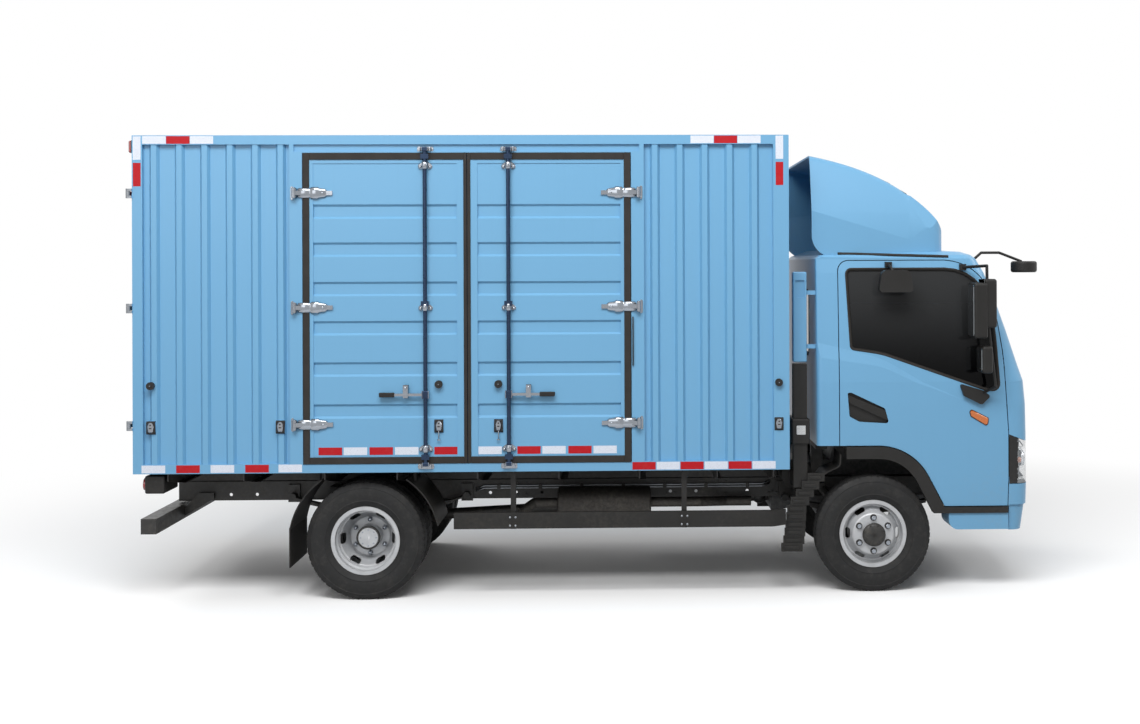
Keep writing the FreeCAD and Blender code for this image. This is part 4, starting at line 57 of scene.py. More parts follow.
class Tree:
    """Small wrapper that adds and links shader nodes by plain names."""

    def __init__(self, name):
        self.material = bpy.data.materials.new(name)
        self.material.use_nodes = True
        self.nodes = self.material.node_tree.nodes
        self.links = self.material.node_tree.links
        self.nodes.clear()
        self.out = self.nodes.new("ShaderNodeOutputMaterial")
        self.bsdf = self.nodes.new("ShaderNodeBsdfPrincipled")
        self.link(self.bsdf.outputs["BSDF"], self.out.inputs["Surface"])
        self.coords = self.nodes.new("ShaderNodeTexCoord").outputs["Object"]

    def link(self, source, target):
        self.links.new(source, target)
        return target

    def feed(self, value, target):
        if isinstance(value, bpy.types.NodeSocket):
            self.link(value, target)
        elif hasattr(target.default_value, "__len__") and not hasattr(value, "__len__"):
            target.default_value = [value] * 3
        elif hasattr(value, "__len__") and len(value) == 3 and len(target.default_value) == 4:
            target.default_value = (*value, 1.0)
        else:
            target.default_value = value

    def set(self, **values):
        for name, value in values.items():
            self.feed(value, self.bsdf.inputs[name.replace("_", " ")])

    def stretched(self, stretch):
        """Object coordinates, scaled along each axis where asked."""
        if not stretch:
            return self.coords
        mapping = self.nodes.new("ShaderNodeMapping")
        mapping.inputs["Scale"].default_value = stretch
        self.link(self.coords, mapping.inputs["Vector"])
        return mapping.outputs["Vector"]

    def noise(self, scale, detail=4.0, roughness=0.55, stretch=None, distortion=0.0):
        node = self.nodes.new("ShaderNodeTexNoise")
        for key, value in (("Scale", scale), ("Detail", detail), ("Roughness", roughness),
                           ("Distortion", distortion)):
            node.inputs[key].default_value = value
        self.link(self.stretched(stretch), node.inputs["Vector"])
        return node.outputs["Fac"]

    def cells(self, scale, feature="F1"):
        node = self.nodes.new("ShaderNodeTexVoronoi")
        node.feature = feature
        node.inputs["Scale"].default_value = scale
        self.link(self.coords, node.inputs["Vector"])
        return node.outputs["Distance"]

    def math(self, kind, a, b, clamp=False):
        node = self.nodes.new("ShaderNodeMath")
        node.operation = kind
        node.use_clamp = clamp
        self.feed(a, node.inputs[0])
        self.feed(b, node.inputs[1])
        return node.outputs["Value"]

    def times(self, a, b):
        return self.math("MULTIPLY", a, b)

    def spread(self, value, low, high, out_low=0.0, out_high=1.0):
        """Value mapped smoothly from one range to another."""
        node = self.nodes.new("ShaderNodeMapRange")
        node.interpolation_type = "SMOOTHSTEP"
        self.feed(value, node.inputs["Value"])
        for key, number in (("From Min", low), ("From Max", high), ("To Min", out_low), ("To Max", out_high)):
            self.feed(number, node.inputs[key])
        return node.outputs["Result"]

    def axis(self, letter):
        node = self.nodes.new("ShaderNodeSeparateXYZ")
        self.link(self.coords, node.inputs["Vector"])
        return node.outputs[letter]

    def blend(self, data_type, kind, share, a, b):
        node = self.nodes.new("ShaderNodeMix")
        node.data_type = data_type
        inputs = {s.identifier: s for s in node.inputs}
        for key, value in (("Factor_Float", share), ("A_" + kind, a), ("B_" + kind, b)):
            self.feed(value, inputs[key])
        return next(s for s in node.outputs if s.identifier == "Result_" + kind)

    def mix(self, share, a, b):
        return self.blend("RGBA", "Color", share, a, b)

    def mix_value(self, share, a, b):
        return self.blend("FLOAT", "Float", share, a, b)

    def bump(self, height, strength, distance=0.001):
        node = self.nodes.new("ShaderNodeBump")
        node.inputs["Strength"].default_value = strength
        node.inputs["Distance"].default_value = distance
        self.feed(height, node.inputs["Height"])
        return node.outputs["Normal"]

    def edges(self, radius):
        """Share that is high on convex and concave edges, from a bevelled normal."""
        bevel = self.nodes.new("ShaderNodeBevel")
        bevel.samples = 4
        bevel.inputs["Radius"].default_value = radius
        geometry = self.nodes.new("ShaderNodeNewGeometry")
        gap = self.nodes.new("ShaderNodeVectorMath")
        gap.operation = "DISTANCE"
        self.link(bevel.outputs["Normal"], gap.inputs[0])
        self.link(geometry.outputs["Normal"], gap.inputs[1])
        return self.spread(gap.outputs["Value"], 0.04, 0.22)


def srgb(r, g, b):
    """Colour from 0-255 screen values to linear light."""
    def one(v):
        v /= 255.0
        return v / 12.92 if v <= 0.04045 else ((v + 0.055) / 1.055) ** 2.4
    return (one(r), one(g), one(b))


def shaded(colour, share):
    return tuple(v * share for v in colour)


# Colours

BODY_BLUE = srgb(110, 166, 204)
DUST = srgb(150, 143, 130)
RIM_SILVER = srgb(188, 190, 193)
TAPE_RED = srgb(182, 10, 26)
TAPE_WHITE = srgb(222, 228, 240)


# Materials

def dusted(tree, base, share_low, amount, top=1.5):
    """Base colour with road dust that thickens towards the ground and in patches."""
    height = tree.spread(tree.axis("Z"), 0.25, top, 1.0, 0.0)
    patches = tree.spread(tree.noise(2.3, 6.0, 0.6), 0.35, 0.75)
    fine = tree.spread(tree.noise(38.0, 3.0, 0.6), 0.3, 0.8)
    share = tree.times(tree.times(height, patches), fine)
    share = tree.math("ADD", tree.times(share, amount), share_low, clamp=True)
    return tree.mix(share, base, DUST), share


def paint(name, colour, dust, streaks):
    """Sprayed gloss paint with faint orange peel, rain streaks and road dust."""
    tree = Tree(name)
    tone = tree.noise(1.6, 4.0, 0.5)
    darker = shaded(colour, 0.97)
    base = tree.mix(tone, colour, darker)
    runs = tree.noise(3.0, 5.0, 0.6, stretch=(9.0, 9.0, 0.5))
    runs = tree.times(tree.spread(runs, 0.52, 0.8), streaks)
    base = tree.mix(runs, base, shaded(colour, 0.55))
    base, share = dusted(tree, base, 0.0, dust)
    tree.set(Base_Color=base, Roughness=tree.mix_value(share, 0.38, 0.75), Specular_IOR_Level=0.4,
             Coat_Weight=0.15, Coat_Roughness=0.15,
             Normal=tree.bump(tree.noise(260.0, 2.0, 0.5), 0.04, 0.0003))
    return tree.material


def black_steel():
    tree = Tree("black_steel")
    grain = tree.noise(24.0, 6.0, 0.65)
    base = tree.mix(tree.spread(grain, 0.35, 0.7), srgb(14, 14, 15), srgb(28, 27, 26))
    rust = tree.spread(tree.noise(7.0, 8.0, 0.7), 0.66, 0.78)
    base = tree.mix(tree.times(rust, 0.2), base, srgb(74, 48, 34))
    base, share = dusted(tree, base, 0.01, 0.25)
    rough = tree.mix_value(share, tree.spread(grain, 0.3, 0.8, 0.42, 0.62), 0.9)
    tree.set(Base_Color=base, Roughness=rough, Normal=tree.bump(grain, 0.3, 0.0015))
    return tree.material


def black_plastic(name="black_plastic", tone=(11, 11, 12), dust=0.08):
    tree = Tree(name)
    grain = tree.cells(420.0)
    cloud = tree.noise(5.0, 4.0, 0.6)
    base = tree.mix(tree.spread(cloud, 0.35, 0.7), srgb(*tone), srgb(*[v + 9 for v in tone]))
    base, share = dusted(tree, base, 0.02, dust)
    scuffs = tree.spread(tree.noise(60.0, 4.0, 0.7, stretch=(0.3, 0.3, 2.0)), 0.66, 0.8)
    base = tree.mix(tree.times(scuffs, 0.12), base, srgb(80, 80, 82))
    tree.set(Base_Color=base, Roughness=tree.mix_value(share, 0.5, 0.88), Specular_IOR_Level=0.3,
             Normal=tree.bump(grain, 0.25, 0.0006))
    return tree.material


def rubber(name="rubber", tone=(24, 23, 23)):
    tree = Tree(name)
    cloud = tree.noise(9.0, 5.0, 0.6)
    base = tree.mix(tree.spread(cloud, 0.3, 0.7), srgb(*tone), srgb(*[v + 10 for v in tone]))
    base, share = dusted(tree, base, 0.01, 0.12)
    tree.set(Base_Color=base, Roughness=tree.mix_value(share, 0.62, 0.9), Specular_IOR_Level=0.3,
             Normal=tree.bump(tree.noise(150.0), 0.2, 0.0006))
    return tree.material


def metal(name, colour, rough_low, rough_high, brushed=None, dirt=0.2, rust=0.0):
    """Bare or plated metal with wiped dirt and, where asked, spots of rust."""
    tree = Tree(name)
    grain = tree.noise(60.0, 4.0, 0.6, stretch=brushed)
    cloud = tree.noise(6.0, 6.0, 0.65)
    base = tree.mix(tree.spread(cloud, 0.4, 0.75), colour, shaded(colour, 0.84))
    base, share = dusted(tree, base, 0.01, dirt)
    rough = tree.mix_value(share, tree.spread(grain, 0.3, 0.7, rough_low, rough_high), 0.8)
    bare = tree.mix_value(share, 1.0, 0.1)
    if rust:
        spots = tree.times(tree.spread(tree.noise(46.0, 8.0, 0.75), 0.6, 0.7), rust)
        base = tree.mix(spots, base, srgb(112, 66, 38))
        rough = tree.mix_value(spots, rough, 0.9)
        bare = tree.mix_value(spots, bare, 0.0)
    tree.set(Base_Color=base, Metallic=bare, Roughness=rough, Normal=tree.bump(grain, 0.03, 0.0004))
    return tree.material


def rim_paint():
    tree = Tree("rim_silver")
    cloud = tree.noise(14.0, 6.0, 0.65)
    base = tree.mix(tree.spread(cloud, 0.35, 0.7), RIM_SILVER, shaded(RIM_SILVER, 0.86))
    base, share = dusted(tree, base, 0.02, 0.2, top=1.1)
    edge = tree.edges(0.008)
    base = tree.mix(tree.times(edge, 0.25), base, srgb(120, 112, 104))
    tree.set(Base_Color=base, Metallic=0.25, Roughness=tree.mix_value(share, 0.38, 0.8),
             Normal=tree.bump(tree.noise(120.0), 0.1, 0.0005))
    return tree.material


def tyre_rubber():
    tree = Tree("tyre_rubber")
    cloud = tree.noise(7.0, 6.0, 0.65)
    base = tree.mix(tree.spread(cloud, 0.3, 0.75), srgb(19, 19, 20), srgb(31, 31, 31))
    dust = tree.spread(tree.noise(16.0, 6.0, 0.7), 0.45, 0.75)
    base = tree.mix(tree.times(dust, 0.15), base, srgb(92, 89, 85))
    tree.set(Base_Color=base, Roughness=tree.spread(cloud, 0.2, 0.8, 0.6, 0.8), Specular_IOR_Level=0.35,
             Normal=tree.bump(tree.noise(210.0, 3.0), 0.3, 0.0008))
    return tree.material


def glass(name, tint, alpha, grime=0.10, painted_reflection=None, specular=0.3):
    """Tinted pane with a film of dust and, where asked, a painted reflection that turns it paler towards the
    top.
    """
    tree = Tree(name)
    # Painted reflection: the tint passes into a paler colour with height
    if painted_reflection:
        tint = tree.mix(tree.spread(tree.axis("Z"), 1.40, 2.20), tint, painted_reflection)
    film = tree.spread(tree.noise(3.0, 6.0, 0.6), 0.4, 0.8)
    smear = tree.spread(tree.noise(22.0, 5.0, 0.7, stretch=(1.0, 1.0, 0.3)), 0.45, 0.8)
    dirt = tree.times(tree.times(film, smear), grime)
    base = tree.mix(dirt, tint, DUST)
    tree.set(Base_Color=base, Roughness=tree.mix_value(dirt, 0.03, 0.6), IOR=1.5, Specular_IOR_Level=specular,
             Alpha=tree.mix_value(dirt, alpha, 0.9), Normal=tree.bump(tree.noise(1.6, 2.0), 0.05, 0.003))
    return tree.material


def lens(name, colour):
    """Moulded lamp lens with prism cells under a glossy face."""
    tree = Tree(name)
    prisms = tree.cells(160.0, "DISTANCE_TO_EDGE")
    pattern = tree.spread(prisms, 0.0, 0.08)
    base = tree.mix(pattern, shaded(colour, 0.45), colour)
    base, share = dusted(tree, base, 0.0, 0.25)
    tree.set(Base_Color=base, Roughness=tree.mix_value(share, 0.12, 0.6), Coat_Weight=0.8,
             Coat_Roughness=0.04, Normal=tree.bump(pattern, 0.4, 0.001))
    return tree.material


def clear_lens():
    """Clear headlamp cover."""
    tree = Tree("clear_lens")
    flutes = tree.noise(8.0, 3.0, 0.5)
    haze = tree.spread(tree.noise(12.0, 5.0, 0.6), 0.45, 0.85)
    tree.set(Base_Color=srgb(214, 222, 228), Roughness=tree.mix_value(haze, 0.03, 0.22), IOR=1.5,
             Alpha=tree.mix_value(haze, 0.26, 0.4), Specular_IOR_Level=0.8,
             Normal=tree.bump(flutes, 0.08, 0.002))
    return tree.material


def tape(name, colour):
    """Retroreflective tape: hexagonal cells under a clear face."""
    tree = Tree(name)
    cell = tree.spread(tree.cells(210.0, "DISTANCE_TO_EDGE"), 0.0, 0.10)
    base = tree.mix(cell, shaded(colour, 0.75), colour)
    dirt = tree.times(tree.spread(tree.noise(20.0, 5.0, 0.7), 0.45, 0.8), 0.06)
    base = tree.mix(dirt, base, DUST)
    tree.set(Base_Color=base, Roughness=tree.mix_value(dirt, 0.5, 0.8), Specular_IOR_Level=0.3,
             Normal=tree.bump(cell, 0.1, 0.0004))
    return tree.material


def floor_board():
    tree = Tree("floor_board")
    grain = tree.noise(5.0, 8.0, 0.65, stretch=(0.5, 9.0, 9.0), distortion=0.4)
    base = tree.mix(tree.spread(grain, 0.3, 0.7), srgb(84, 60, 40), srgb(132, 100, 70))
    wear = tree.spread(tree.noise(4.0, 8.0, 0.7), 0.55, 0.75)
    base = tree.mix(tree.times(wear, 0.45), base, srgb(120, 112, 102))
    tree.set(Base_Color=base, Roughness=tree.spread(grain, 0.3, 0.7, 0.5, 0.75),
             Normal=tree.bump(grain, 0.3, 0.001))
    return tree.material


def cast_iron():
    tree = Tree("cast_iron")
    grain = tree.noise(40.0, 6.0, 0.7)
    base = tree.mix(tree.spread(grain, 0.3, 0.7), srgb(66, 68, 70), srgb(96, 96, 96))
    oil = tree.spread(tree.noise(5.0, 6.0, 0.6), 0.5, 0.7)
    base = tree.mix(tree.times(oil, 0.6), base, srgb(34, 29, 25))
    tree.set(Base_Color=base, Metallic=0.3, Roughness=tree.mix_value(oil, 0.66, 0.4),
             Normal=tree.bump(grain, 0.5, 0.002))
    return tree.material


def mesh_screen():
    """Honeycomb mesh: dark cells between raised webs; the near-black cells are painted shade seen through the
    openings.
    """
    tree = Tree("mesh_screen")
    web = tree.spread(tree.cells(95.0, "DISTANCE_TO_EDGE"), 0.05, 0.14, 1.0, 0.0)
    base = tree.mix(web, srgb(7, 7, 8), srgb(44, 45, 47))
    tree.set(Base_Color=base, Roughness=0.6, Normal=tree.bump(web, 0.8, 0.004))
    return tree.material


def seat_cloth():
    """Woven cloth with a twill line and some sheen."""
    tree = Tree("seat_cloth")
    weave = tree.nodes.new("ShaderNodeTexWave")
    weave.bands_direction = "DIAGONAL"
    weave.inputs["Scale"].default_value = 190.0
    weave.inputs["Distortion"].default_value = 1.2
    tree.link(tree.coords, weave.inputs["Vector"])
    threads = weave.outputs["Fac"]
    cloud = tree.noise(9.0, 5.0, 0.6)
    base = tree.mix(tree.spread(cloud, 0.3, 0.7), srgb(50, 52, 56), srgb(74, 76, 80))
    base = tree.mix(tree.times(threads, 0.3), base, srgb(30, 31, 34))
    tree.set(Base_Color=base, Roughness=0.9, Sheen_Weight=0.3, Normal=tree.bump(threads, 0.5, 0.0008))
    return tree.material


FLOOR_TONE = 0.30
FLOOR_SEEN_TONE = 1.0
FLOOR_FADE = (4.5, 8.0)
SKY_STRENGTH = 0.42


def seen_rays(nodes, links):
    """1 for rays from the camera, or from it by a mirror or through glass, 0 for those that light things."""
    path = nodes.new("ShaderNodeLightPath")
    total = path.outputs["Is Camera Ray"]
    for name in ("Is Glossy Ray", "Is Transmission Ray"):
        add = nodes.new("ShaderNodeMath")
        add.operation = "ADD"
        add.use_clamp = True
        links.new(total, add.inputs[0])
        links.new(path.outputs[name], add.inputs[1])
        total = add.outputs["Value"]
    return total


def studio_floor():
    """Plain ground that takes the shadow and passes into white away from the truck."""
    tree = Tree("studio_floor")
    seen = seen_rays(tree.nodes, tree.links)
    tree.set(Base_Color=tree.mix(seen, (FLOOR_TONE,) * 3, (FLOOR_SEEN_TONE,) * 3), Roughness=0.9,
             Specular_IOR_Level=0.0)
    distance = tree.nodes.new("ShaderNodeVectorMath")
    distance.operation = "LENGTH"
    tree.link(tree.coords, distance.inputs[0])
    white = tree.nodes.new("ShaderNodeEmission")
    share = tree.times(tree.spread(distance.outputs["Value"], *FLOOR_FADE), seen)
    blend = tree.nodes.new("ShaderNodeMixShader")
    tree.link(share, blend.inputs["Fac"])
    tree.link(tree.bsdf.outputs["BSDF"], blend.inputs[1])
    tree.link(white.outputs["Emission"], blend.inputs[2])
    tree.link(blend.outputs["Shader"], tree.out.inputs["Surface"])
    return tree.material


MATS = {
    "body_paint": paint("body_paint", BODY_BLUE, dust=0.14, streaks=0.04),
    "black_steel": black_steel(),
    "black_plastic": black_plastic(),
    "rubber": rubber(),
    "seal": rubber("seal", (26, 23, 21)),
    "chrome": metal("chrome", srgb(146, 151, 158), 0.12, 0.22, dirt=0.03),
    # The lock rods' steel is tinted dark blue as a painted reflection of the blue paint round them
    "rod_steel_blue_reflection": metal("rod_steel_blue_reflection", srgb(46, 60, 82), 0.25, 0.35, dirt=0.02),
    "zinc": metal("zinc", srgb(138, 142, 147), 0.30, 0.45, dirt=0.1),
    "tank_alloy": metal("tank_alloy", srgb(168, 170, 172), 0.3, 0.5, brushed=(0.4, 6.0, 6.0), dirt=0.3),
    "exhaust_steel": metal("exhaust_steel", srgb(70, 68, 66), 0.5, 0.7, dirt=0.2, rust=0.3),
    "rim_silver": rim_paint(),
    "tyre_rubber": tyre_rubber(),
    # The door panes are near black, with a painted reflection that is paler towards the top
    "pane": glass("pane", srgb(3, 3, 4), 0.93, 0.01, srgb(54, 55, 56), 0.1),
    "windscreen": glass("windscreen", srgb(8, 10, 11), 0.93, 0.02),
    "dark_glass": glass("dark_glass", srgb(12, 14, 16), 0.95),
    "projector": glass("projector", srgb(150, 160, 170), 0.6, 0.02),
    "mesh_screen": mesh_screen(),
    "lamp_case": black_plastic("lamp_case", (16, 17, 19), 0.1),
    "mirror": metal("mirror", srgb(206, 212, 216), 0.02, 0.06, dirt=0.1),
    "clear_lens": clear_lens(),
    "lens_red": lens("lens_red", srgb(150, 14, 16)),
    "lens_amber": lens("lens_amber", srgb(214, 108, 16)),
    "lens_white": lens("lens_white", srgb(214, 216, 216)),
    "reflector": metal("reflector", srgb(214, 216, 220), 0.08, 0.2, dirt=0.05),
    "tape_red": tape("tape_red", TAPE_RED),
    "tape_white": tape("tape_white", TAPE_WHITE),
    "floor_board": floor_board(),
    "engine_iron": cast_iron(),
    "seat_cloth": seat_cloth(),
}


# Mesh helpers

def linked(name, data):
    """New object in the scene's collection."""
    obj = bpy.data.objects.new(name, data)
    bpy.context.scene.collection.objects.link(obj)
    return obj


def mesh_object(name, verts, faces, materials):
    mesh = bpy.data.meshes.new(name)
    mesh.from_pydata([tuple(v) for v in verts], [], faces)
    mesh.update()
    for material in materials:
        mesh.materials.append(material)
    return linked(name, mesh)


def bridged(rings, count, loop=False):
    """Faces between closed rings of points, with loop also from the last ring to the first."""
    steps = zip(range(rings if loop else rings - 1), [*range(1, rings), 0])
    return [(i * count + k, i * count + (k + 1) % count, j * count + (k + 1) % count, j * count + k)
            for i, j in steps for k in range(count)]


def turned_over(faces):
    return [(a, d, c, b) for a, b, c, d in faces]


def caps(rings, count):
    """End faces of a run of rings."""
    return [list(reversed(range(count))), [(rings - 1) * count + k for k in range(count)]]


def axes_about(axis):
    """Unit vector along an axis, and two more across it."""
    axis = Vector(axis).normalized()
    side = axis.orthogonal().normalized()
    return axis, side, axis.cross(side)


def circle(centre, side, other, radius, sides):
    """Points of a ring in the plane of two unit vectors."""
    turns = [2 * math.pi * i / sides for i in range(sides)]
    return [centre + side * (radius * math.cos(a)) + other * (radius * math.sin(a)) for a in turns]


class Builder:
    """Collects verts and faces of many small forms that share one object."""

    def __init__(self):
        self.verts = []
        self.faces = []
        self.slots = []
        self.smooth = []

    def add(self, verts, faces, slot=0, smooth=False):
        start = len(self.verts)
        self.verts += [Vector(v) for v in verts]
        self.faces += [[start + i for i in f] for f in faces]
        self.slots += [slot] * len(faces)
        self.smooth += [smooth] * len(faces)

    def box(self, low, high, slot=0, edge=0.0):
        """Box with optionally chamfered edges."""
        if edge <= 0:
            corners = [(x, y, z) for z in (low[2], high[2]) for x, y in (
                (low[0], low[1]), (high[0], low[1]), (high[0], high[1]), (low[0], high[1]))]
            sides = [(0, 3, 2, 1), (4, 5, 6, 7), (0, 1, 5, 4), (1, 2, 6, 5), (2, 3, 7, 6), (3, 0, 4, 7)]
            self.add(corners, sides, slot)
            return
        size = [b - a for a, b in zip(low, high)]
        bm = cube_between(low, high)
        edge = min(edge, min(size) * 0.45)
        bmesh.ops.bevel(bm, geom=bm.edges[:], offset=edge, segments=2, affect="EDGES", profile=0.6)
        bm.verts.index_update()
        self.add([v.co.copy() for v in bm.verts], [[v.index for v in f.verts] for f in bm.faces], slot)
        bm.free()

    def disc(self, centre, axis, radius, height, sides=16, slot=0, dome=0.0, smooth=True):
        """Round boss from centre along axis, with an optional domed top."""
        axis, side, other = axes_about(axis)
        rings = [(radius, 0.0), (radius, height * 0.8), (radius * 0.88, height)]
        if dome:
            rings += [(radius * 0.6, height + dome * 0.7), (radius * 0.25, height + dome * 0.97)]
        verts = []
        for r, h in rings:
            verts += circle(Vector(centre) + axis * h, side, other, r, sides)
        self.add(verts, bridged(len(rings), sides) + caps(len(rings), sides), slot, smooth)

    def hexagon(self, centre, axis, radius, height, slot=0):
        """Bolt head on a washer."""
        self.disc(centre, axis, radius * 1.35, height * 0.25, 14, slot, smooth=False)
        axis = Vector(axis).normalized()
        self.disc(Vector(centre) + axis * height * 0.25, axis, radius, height * 0.75, 6, slot, smooth=False)

    def tube(self, points, radius, sides=10, slot=0):
        """Round bar along a run of points."""
        points = [Vector(p) for p in points]
        verts, normal = [], None
        for i, p in enumerate(points):
            ahead = (points[min(i + 1, len(points) - 1)] - points[max(i - 1, 0)]).normalized()
            if normal is None:
                normal = ahead.orthogonal().normalized()
            normal = (normal - ahead * normal.dot(ahead)).normalized()
            verts += circle(p, normal, ahead.cross(normal), radius, sides)
        self.add(verts, bridged(len(points), sides) + caps(len(points), sides), slot, True)

    def spun(self, profile, centre, axis, sides=48, slot=0):
        """Closed ring of (radius, along) points turned about an axis."""
        axis, side, other = axes_about(axis)
        verts = []
        for i in range(sides):
            a = 2 * math.pi * i / sides
            out = side * math.cos(a) + other * math.sin(a)
            verts += [Vector(centre) + axis * h + out * r for r, h in profile]
        self.add(verts, bridged(sides, len(profile), loop=True), slot, True)

    def mirrored_y(self):
        """Adds the mirror image of everything."""
        offset = len(self.verts)
        self.verts += [Vector((v.x, -v.y, v.z)) for v in self.verts]
        self.faces += [[i + offset for i in reversed(f)] for f in self.faces]
        self.slots *= 2
        self.smooth *= 2

    def flip_y(self, start=0):
        """Turns everything from the start vertex on into its mirror image."""
        for v in self.verts[start:]:
            v.y = -v.y
        self.faces = [list(reversed(f)) if min(f) >= start else f for f in self.faces]

    def build(self, name, slots, body):
        obj = mesh_object(name, self.verts, self.faces, [MATS[slot] for slot in slots])
        for p, s, m in zip(obj.data.polygons, self.slots, self.smooth):
            p.material_index = s
            p.use_smooth = m
        obj.data.update()
        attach(obj, body)
        return obj


def cube_between(low, high):
    """Box mesh from its low to its high corner, not yet an object."""
    bm = bmesh.new()
    bmesh.ops.create_cube(bm, size=1.0)
    for v in bm.verts:
        v.co = Vector([(a + b) / 2 + v.co[i] * (b - a) for i, (a, b) in enumerate(zip(low, high))])
    return bm


def recalculated(obj):
    """Makes all faces of closed forms point outwards."""
    bm = bmesh.new()
    bm.from_mesh(obj.data)
    bmesh.ops.recalc_face_normals(bm, faces=bm.faces[:])
    bm.to_mesh(obj.data)
    bm.free()


def on_pair(name, slots, body, draw):
    """Builds a right hand form and its mirror image; {} in the name and the body stands for the side."""
    for side, _ in SIDES:
        build = Builder()
        draw(build)
        if side == "left":
            build.flip_y()
        recalculated(build.build(name.format(side), slots, body.format(side)))


def finish_normals(obj, angle):
    """Smooth shading that keeps edges over the angle sharp."""
    mesh = obj.data
    for p in mesh.polygons:
        p.use_smooth = True
    mesh.set_sharp_from_angle(angle=math.radians(angle))


def dress(node, *materials, choose=None):
    """Give a CAD node its material, or several picked per face by choose(centre, normal)."""
    mesh = NODES[node].data
    mesh.materials.clear()
    for m in materials:
        mesh.materials.append(MATS[m])
    for p in mesh.polygons:
        p.material_index = choose(p.center, p.normal) if choose else 0


# Reflective tape on the load box

WHITE, RED = 0, 1
TAPE_SLOTS = ["tape_white", "tape_red"]
TAPE_LENGTH = 0.152
TAPE_WIDTH = 0.050
TAPE_LIFT = 0.0006
BOTTOM_TAPE_Z = 0.877
TOP_TAPE_Z = 3.010
DOOR_TAPE_Z = 0.985
REAR_LOW_TAPES = (-1.424, -1.202, -0.981, -0.758, -0.544)
FRONT_LOW_TAPES = (1.752, 1.910, 2.066, 2.224, 2.381, 2.538)
LEFT_LOW_TAPES = [-1.36 + 0.232 * i for i in range(17)]
TOP_TAPES = ((-1.413, -1.259, -1.109), (2.139, 2.293, 2.447))
CORNER_TAPE_X = (-1.448, 2.722)
CORNER_TAPE_TOPS = {WHITE: 3.034, RED: 2.862}
DOOR_TAPES = {"side_door_rear": ((-0.286, -0.124, 0.043, 0.208, 0.463), RED),
              "side_door_front": ((0.749, 1.002, 1.165, 1.334, 1.498), WHITE)}


def tape_set(build, starts, centre_z, first, face_y=BOX_SIDE_Y):
    """Lying pieces of tape on the right side in turning colours, starts given from the rear axle."""
    half = TAPE_WIDTH / 2
    for i, start in enumerate(starts):
        x = REAR_AXLE_X + start
        build.box((x, -face_y - TAPE_LIFT, centre_z - half), (x + TAPE_LENGTH, -face_y, centre_z + half),
                  (first + i) % 2)


def box_tapes():
    build = Builder()
    tape_set(build, REAR_LOW_TAPES, BOTTOM_TAPE_Z, WHITE)
    tape_set(build, FRONT_LOW_TAPES, BOTTOM_TAPE_Z, RED)
    for starts in TOP_TAPES:
        tape_set(build, starts, TOP_TAPE_Z, WHITE)
    half = TAPE_WIDTH / 2
    for centre in CORNER_TAPE_X:
        x = REAR_AXLE_X + centre
        for colour, top in CORNER_TAPE_TOPS.items():
            build.box((x - half, -BOX_SIDE_Y - TAPE_LIFT, top - TAPE_LENGTH),
                      (x + half, -BOX_SIDE_Y, top), colour)
    # The closed left side carries one even run
    start = len(build.verts)
    tape_set(build, LEFT_LOW_TAPES, BOTTOM_TAPE_Z, WHITE)
    for starts in TOP_TAPES:
        tape_set(build, starts, TOP_TAPE_Z, WHITE)
    build.flip_y(start)
    build.build("box_tapes", TAPE_SLOTS, "chassis")


def door_tapes():
    for door, (starts, first) in DOOR_TAPES.items():
        build = Builder()
        tape_set(build, starts, DOOR_TAPE_Z, first, DOOR_FACE_Y)
        build.build(door + "_tapes", TAPE_SLOTS, door)


# Rubber seals round the cargo doors

SEAL_WIDTH = 0.044
FREE_SEAL_WIDTH = 0.0215
SEAL_THICKNESS = 0.006
SEAL_EDGE = 0.003
SIDE_SEAL_Z = (0.903, 2.924)
SIDE_SEALS = {"side_door_rear": (-0.383, 0.679, SEAL_WIDTH, FREE_SEAL_WIDTH),
              "side_door_front": (0.682, 1.746, FREE_SEAL_WIDTH, SEAL_WIDTH)}


def seal_frame(build, x0, x1, z0, z1, face, low_side, high_side):
    """Flat rubber lip round a leaf of the right side; its two upright strips have their own widths."""
    inner_low, inner_high = x0 + low_side, x1 - high_side
    for low_x, high_x, low_z, high_z in (
            (x0, inner_low, z0, z1), (inner_high, x1, z0, z1),
            (inner_low, inner_high, z0, z0 + SEAL_WIDTH), (inner_low, inner_high, z1 - SEAL_WIDTH, z1)):
        build.box((low_x, -face - SEAL_THICKNESS, low_z), (high_x, -face, high_z), 0, SEAL_EDGE)


def side_seals():
    for door, (start, end, low_side, high_side) in SIDE_SEALS.items():
        build = Builder()
        seal_frame(build, REAR_AXLE_X + start, REAR_AXLE_X + end, *SIDE_SEAL_Z, BOX_SIDE_Y,
                   low_side, high_side)
        build.build(door + "_seal", ["seal"], door)


# Tyres with tread, built from rings of points

TYRE_RADIUS = 0.387
TREAD_HALF = 0.078
TREAD_TOP = TYRE_RADIUS - 0.0012
GROOVE_DEPTH = 0.011
GROOVE_HALF = 0.0045
GROOVES = (-0.040, 0.0, 0.040)
ZIGZAG = 0.005
PITCHES = 56
SHOULDER_DROP, SHOULDER_NOTCH = 0.0035, 0.003
EDGE_DROP, EDGE_NOTCH = 0.012, 0.0025
# Share of a tread pitch, and whether the shoulder is notched there
TREAD_STATIONS = ((0.0, False), (0.46, False), (0.5, False), (0.62, False), (0.64, True), (0.93, True),
                  (0.95, False))
